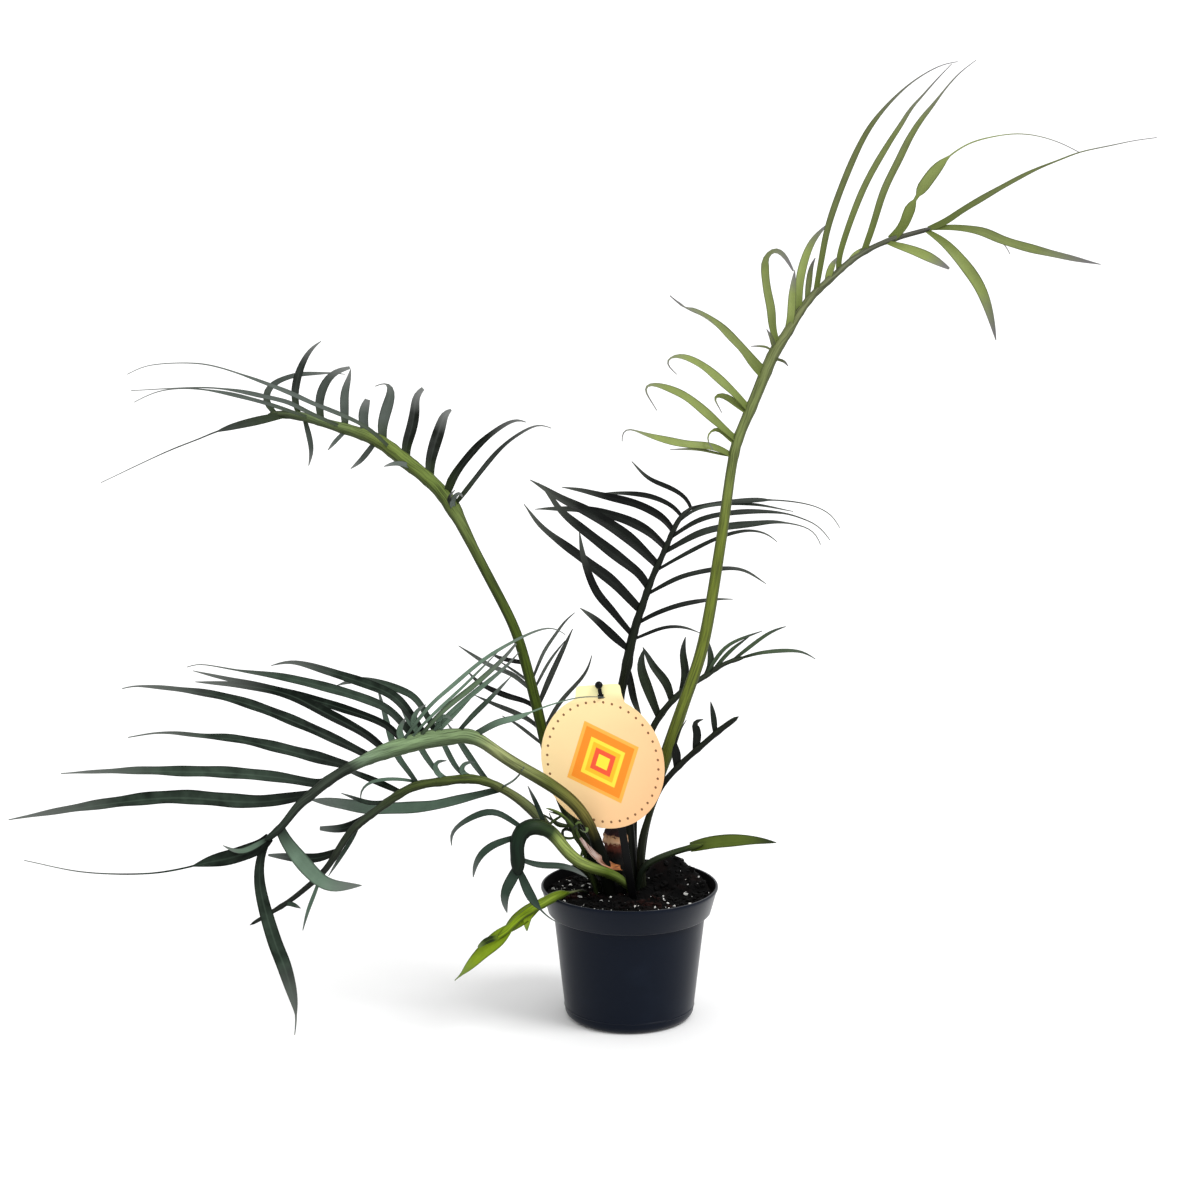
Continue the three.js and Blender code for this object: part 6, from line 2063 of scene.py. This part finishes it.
@dataclass(frozen=True)
class Label:
    """The label: a black stake that leans to the left, and an oval card hung on its neck by a slot.

    Attributes:
        foot: The stake's foot, in the soil.
        stake_lean: How far the stake leans, in radians.
        card_lean: How far the card leans, in radians.
        slot_rise: How far up the stake the card's slot is.
        knob_rise: How far up the stake the knob's middle is.
        stake_width: Width of the stake.
        stake_thickness: Thickness of the stake.
        neck_width: Width of the neck.
        neck_thickness: Thickness of the neck.
        bridge_height: Height of the bar that carries the neck forward.
        knob_radius: Radius of the knob.
        half_width: Half the oval's width.
        half_height: Half the oval's height.
        thickness: Thickness of the card.
        drop: How far the card's middle hangs under its slot.
        shift: How far the card's middle lies right of its slot.
        turn: How far the oval leans past the card, in radians.
        tab_half_width: Half the tab's width.
        tab_rise: How far the tab stands over the oval.
        tab_flare: How much wider the tab is at its foot.
        tab_corner: Rounding of the tab's corners.
    """

    AROUND = 320
    EDGE_ERROR = 0.005
    # Width of a rounded edge on the stake's broad and slender bars
    ROUNDING = 0.35
    FINE_ROUNDING = 0.3
    SLOT_HEIGHT = 3.0

    foot: Vector = field(default_factory=lambda: Vector((7.9, -14.0, 50.0)))
    stake_lean: float = math.radians(8.8)
    card_lean: float = math.radians(3.7)
    slot_rise: float = 179.0
    knob_rise: float = 187.6
    stake_width: float = 5.2
    stake_thickness: float = 1.4
    neck_width: float = 2.6
    neck_thickness: float = 1.2
    bridge_height: float = 1.6
    knob_radius: float = 2.6
    half_width: float = 40.0
    half_height: float = 47.0
    thickness: float = 0.8
    drop: float = 45.0
    shift: float = -1.5
    turn: float = math.radians(19.5)
    tab_half_width: float = 15.0
    tab_rise: float = 6.0
    tab_flare: float = 5.0
    tab_corner: float = 3.0

    @property
    def card_front(self) -> float:
        """How far the card's front stands before the stake's middle."""
        return self.stake_thickness / 2 + GAP + self.thickness

    @property
    def slot(self) -> Vector:
        """The card's slot, which is the origin of the card's own frame."""
        lean = self.stake_lean
        return self.foot + Vector((-self.slot_rise * math.sin(lean), 0.0, self.slot_rise * math.cos(lean)))

    def _place(self, mesh: Mesh, lean: float, origin: Vector) -> None:
        """Leans a mesh to the left and moves it to its place.

        Args:
            mesh: The mesh, in millimetres at its own origin.
            lean: How far it leans, in radians.
            origin: Where its origin goes, in mm.
        """
        turn = Matrix.Translation(origin * MM) @ Matrix.Rotation(-lean, 4, "Y") @ Matrix.Scale(MM, 4)
        bmesh.ops.transform(mesh, matrix=turn, verts=mesh.verts)

    def _bar(self, mesh: Mesh, size: Triple, front: float, foot: float, rounding: float) -> None:
        """Adds an upright bar with rounded edges.

        Args:
            mesh: The mesh that it joins.
            size: Its width, depth and height.
            front: How far its middle lies before the stake's.
            foot: Height of its foot.
            rounding: Width of the rounding.
        """
        place = Matrix.Translation((0.0, -front, foot + size[2] / 2)) @ Matrix.Diagonal((*size, 1.0))
        made = bmesh.ops.create_cube(mesh, size=1.0, matrix=place)["verts"]
        edges = list({edge for vert in made for edge in vert.link_edges})
        bmesh.ops.bevel(
            mesh, geom=edges, offset=rounding, segments=3, affect="EDGES", profile=0.5, material=-1,
        )

    def stake(self) -> Object:
        """Builds the stake with its neck and knob.

        Returns:
            The stake.
        """
        neck_front = self.card_front + GAP + self.neck_thickness / 2
        reach = neck_front + self.neck_thickness / 2
        neck_foot = self.slot_rise - self.bridge_height / 2
        mesh = bmesh.new()
        self._bar(mesh, (self.stake_width, self.stake_thickness, self.slot_rise + 1), 0.0, 0.0, self.ROUNDING)
        bridge_size = (self.neck_width, reach, self.bridge_height)
        self._bar(mesh, bridge_size, reach / 2, neck_foot, self.FINE_ROUNDING)
        neck_size = (self.neck_width, self.neck_thickness, self.knob_rise - neck_foot)
        self._bar(mesh, neck_size, neck_front, neck_foot, self.ROUNDING)
        knob = Vector((0.0, -(self.card_front + GAP + self.knob_radius), self.knob_rise))
        bmesh.ops.create_uvsphere(
            mesh, u_segments=32, v_segments=20, radius=self.knob_radius, matrix=Matrix.Translation(knob),
        )
        self._place(mesh, self.stake_lean, self.foot)
        piece = settle(mesh, "moulded_label_stake", [STAKE_PLASTIC.material()], 35.0)
        stand_in(piece, "stake_plastic", "label_stake")
        return piece

    def _covers(self, x: float, z: float) -> bool:
        """Says whether a point of the card's plane lies on the card.

        Args:
            x: How far right of the oval's middle it is, in mm.
            z: How far above it.

        Returns:
            Whether it does.
        """
        across = x * math.cos(self.turn) + z * math.sin(self.turn)
        along = z * math.cos(self.turn) - x * math.sin(self.turn)
        if (across / self.half_width) ** 2 + (along / self.half_height) ** 2 <= 1:
            return True
        top = self.half_height + self.tab_rise
        foot = self.half_height - 2 * self.tab_rise
        if not foot <= z <= top:
            return False
        climb = min(1.0, (z - foot) / (top - self.tab_corner - foot))
        half = self.tab_half_width + self.tab_flare * (1 - climb) ** 2
        over = max(0.0, z - (top - self.tab_corner)) / self.tab_corner
        return abs(x) <= half - self.tab_corner * (1 - math.sqrt(1 - over * over))

    def _reach(self, angle: float) -> float:
        """Finds how far the card's edge is from the oval's middle.

        Args:
            angle: The way there, from upright.

        Returns:
            The distance in mm, to within EDGE_ERROR.
        """
        near, far = 0.0, 2 * self.half_height
        while far - near > self.EDGE_ERROR:
            middle = (near + far) / 2
            if self._covers(middle * math.sin(angle), middle * math.cos(angle)):
                near = middle
            else:
                far = middle
        return near

    def card(self) -> Object:
        """Builds the card: its outline filled, given its thickness, slotted and softened at the edge.

        Returns:
            The card.
        """
        mesh = bmesh.new()
        rim = bmesh.ops.create_circle(mesh, cap_ends=True, segments=self.AROUND, radius=1.0)["verts"]
        for vert in rim:
            angle = math.atan2(vert.co.x, vert.co.y)
            reach = self._reach(angle)
            across = self.shift + reach * math.sin(angle)
            vert.co = (across, -self.card_front, reach * math.cos(angle) - self.drop)
        pushed = bmesh.ops.extrude_face_region(mesh, geom=mesh.faces[:])["geom"]
        back = [part for part in pushed if isinstance(part, bmesh.types.BMVert)]
        bmesh.ops.translate(mesh, verts=back, vec=(0.0, self.thickness, 0.0))
        self._place(mesh, self.card_lean, self.slot)
        middle = self.slot + Matrix.Rotation(-self.card_lean, 3, "Y") @ Vector((self.shift, 0.0, -self.drop))
        print_finish = PrintedCard(middle * MM, self.card_lean, self.turn, self.half_width, self.half_height)
        piece = settle(mesh, "hanging_label_card", [print_finish.material(), CARD_BACK.material()], 35.0)
        for face in piece.data.polygons:
            face.material_index = int(face.normal.y > -0.5)
        window = bmesh.new()
        size = (self.neck_width + 4 * GAP, 4 * self.thickness, self.SLOT_HEIGHT, 1.0)
        middle = Matrix.Translation((0.0, -self.card_front, 0.0))
        bmesh.ops.create_cube(window, size=1.0, matrix=middle @ Matrix.Diagonal(size))
        self._place(window, self.card_lean, self.slot)
        cut(piece, settle(window, "slot_window", []))
        round_edges(piece, 0.15)
        stand_in(piece, "printed_card", "label_card")
        return piece

    def build(self) -> list[Object]:
        """Builds the label.

        Returns:
            The stake and the card.
        """
        return [self.stake(), self.card()]


@dataclass(frozen=True)
class Studio:
    """The pale floor, the soft light and the camera at the photograph's angle.

    Attributes:
        floor_radius: Radius of the floor, in metres.
        sky: Strength of the light from all round.
        key: Strength of the soft sun from the upper right.
        key_width: How wide the sun is, in degrees.
        key_turn: How far the sun is turned about X and Y, in degrees.
        reach: How far the camera sees, in metres.
    """

    floor_radius: float = 300.0
    sky: float = 1.0
    key: float = 1.7
    key_width: float = 28.0
    key_turn: Pair = (18.0, 36.0)
    reach: float = 400.0

    def build(self) -> None:
        """Lays the floor, lights it and sets the camera."""
        mesh = bmesh.new()
        bmesh.ops.create_circle(mesh, cap_ends=True, segments=96, radius=self.floor_radius)
        floor = settle(mesh, "studio_floor", [FLOOR_PAINT.material()])
        scene = bpy.context.scene
        scene.view_settings.view_transform = "Standard"
        world = bpy.data.worlds.new("soft_sky")
        world.use_nodes = True
        ground = world.node_tree.nodes["Background"]
        ground.inputs["Color"].default_value = (1.0, 1.0, 1.0, 1.0)
        ground.inputs["Strength"].default_value = self.sky
        scene.world = world
        sun_data = bpy.data.lights.new("soft_key", "SUN")
        sun_data.energy = self.key
        sun_data.angle = math.radians(self.key_width)
        sun = bpy.data.objects.new("soft_key", sun_data)
        sun.rotation_euler = (math.radians(self.key_turn[0]), math.radians(self.key_turn[1]), 0.0)
        scene.collection.objects.link(sun)
        camera_data = bpy.data.cameras.new("camera")
        camera_data.lens = LENS_MM
        camera_data.sensor_width = SENSOR_MM
        camera_data.clip_end = self.reach
        camera = bpy.data.objects.new("camera", camera_data)
        camera.location = EYE * MM
        camera.rotation_euler = (math.pi / 2 - SIGHT_TILT, 0.0, 0.0)
        scene.collection.objects.link(camera)
        scene.camera = camera


def main() -> None:
    logging.basicConfig(level=logging.INFO, format="%(name)s: %(message)s")
    pot = Pot()
    pieces = [pot.build(), *Soil(pot).build(), Stem().build(), DrySheath().build(), *Label().build()]
    pieces += [leaf.build() for leaf in LEAVES]
    Studio().build()
    bpy.context.view_layer.update()
    LOG.info("%d pieces", len(pieces))


if __name__ == "__main__":
    main()
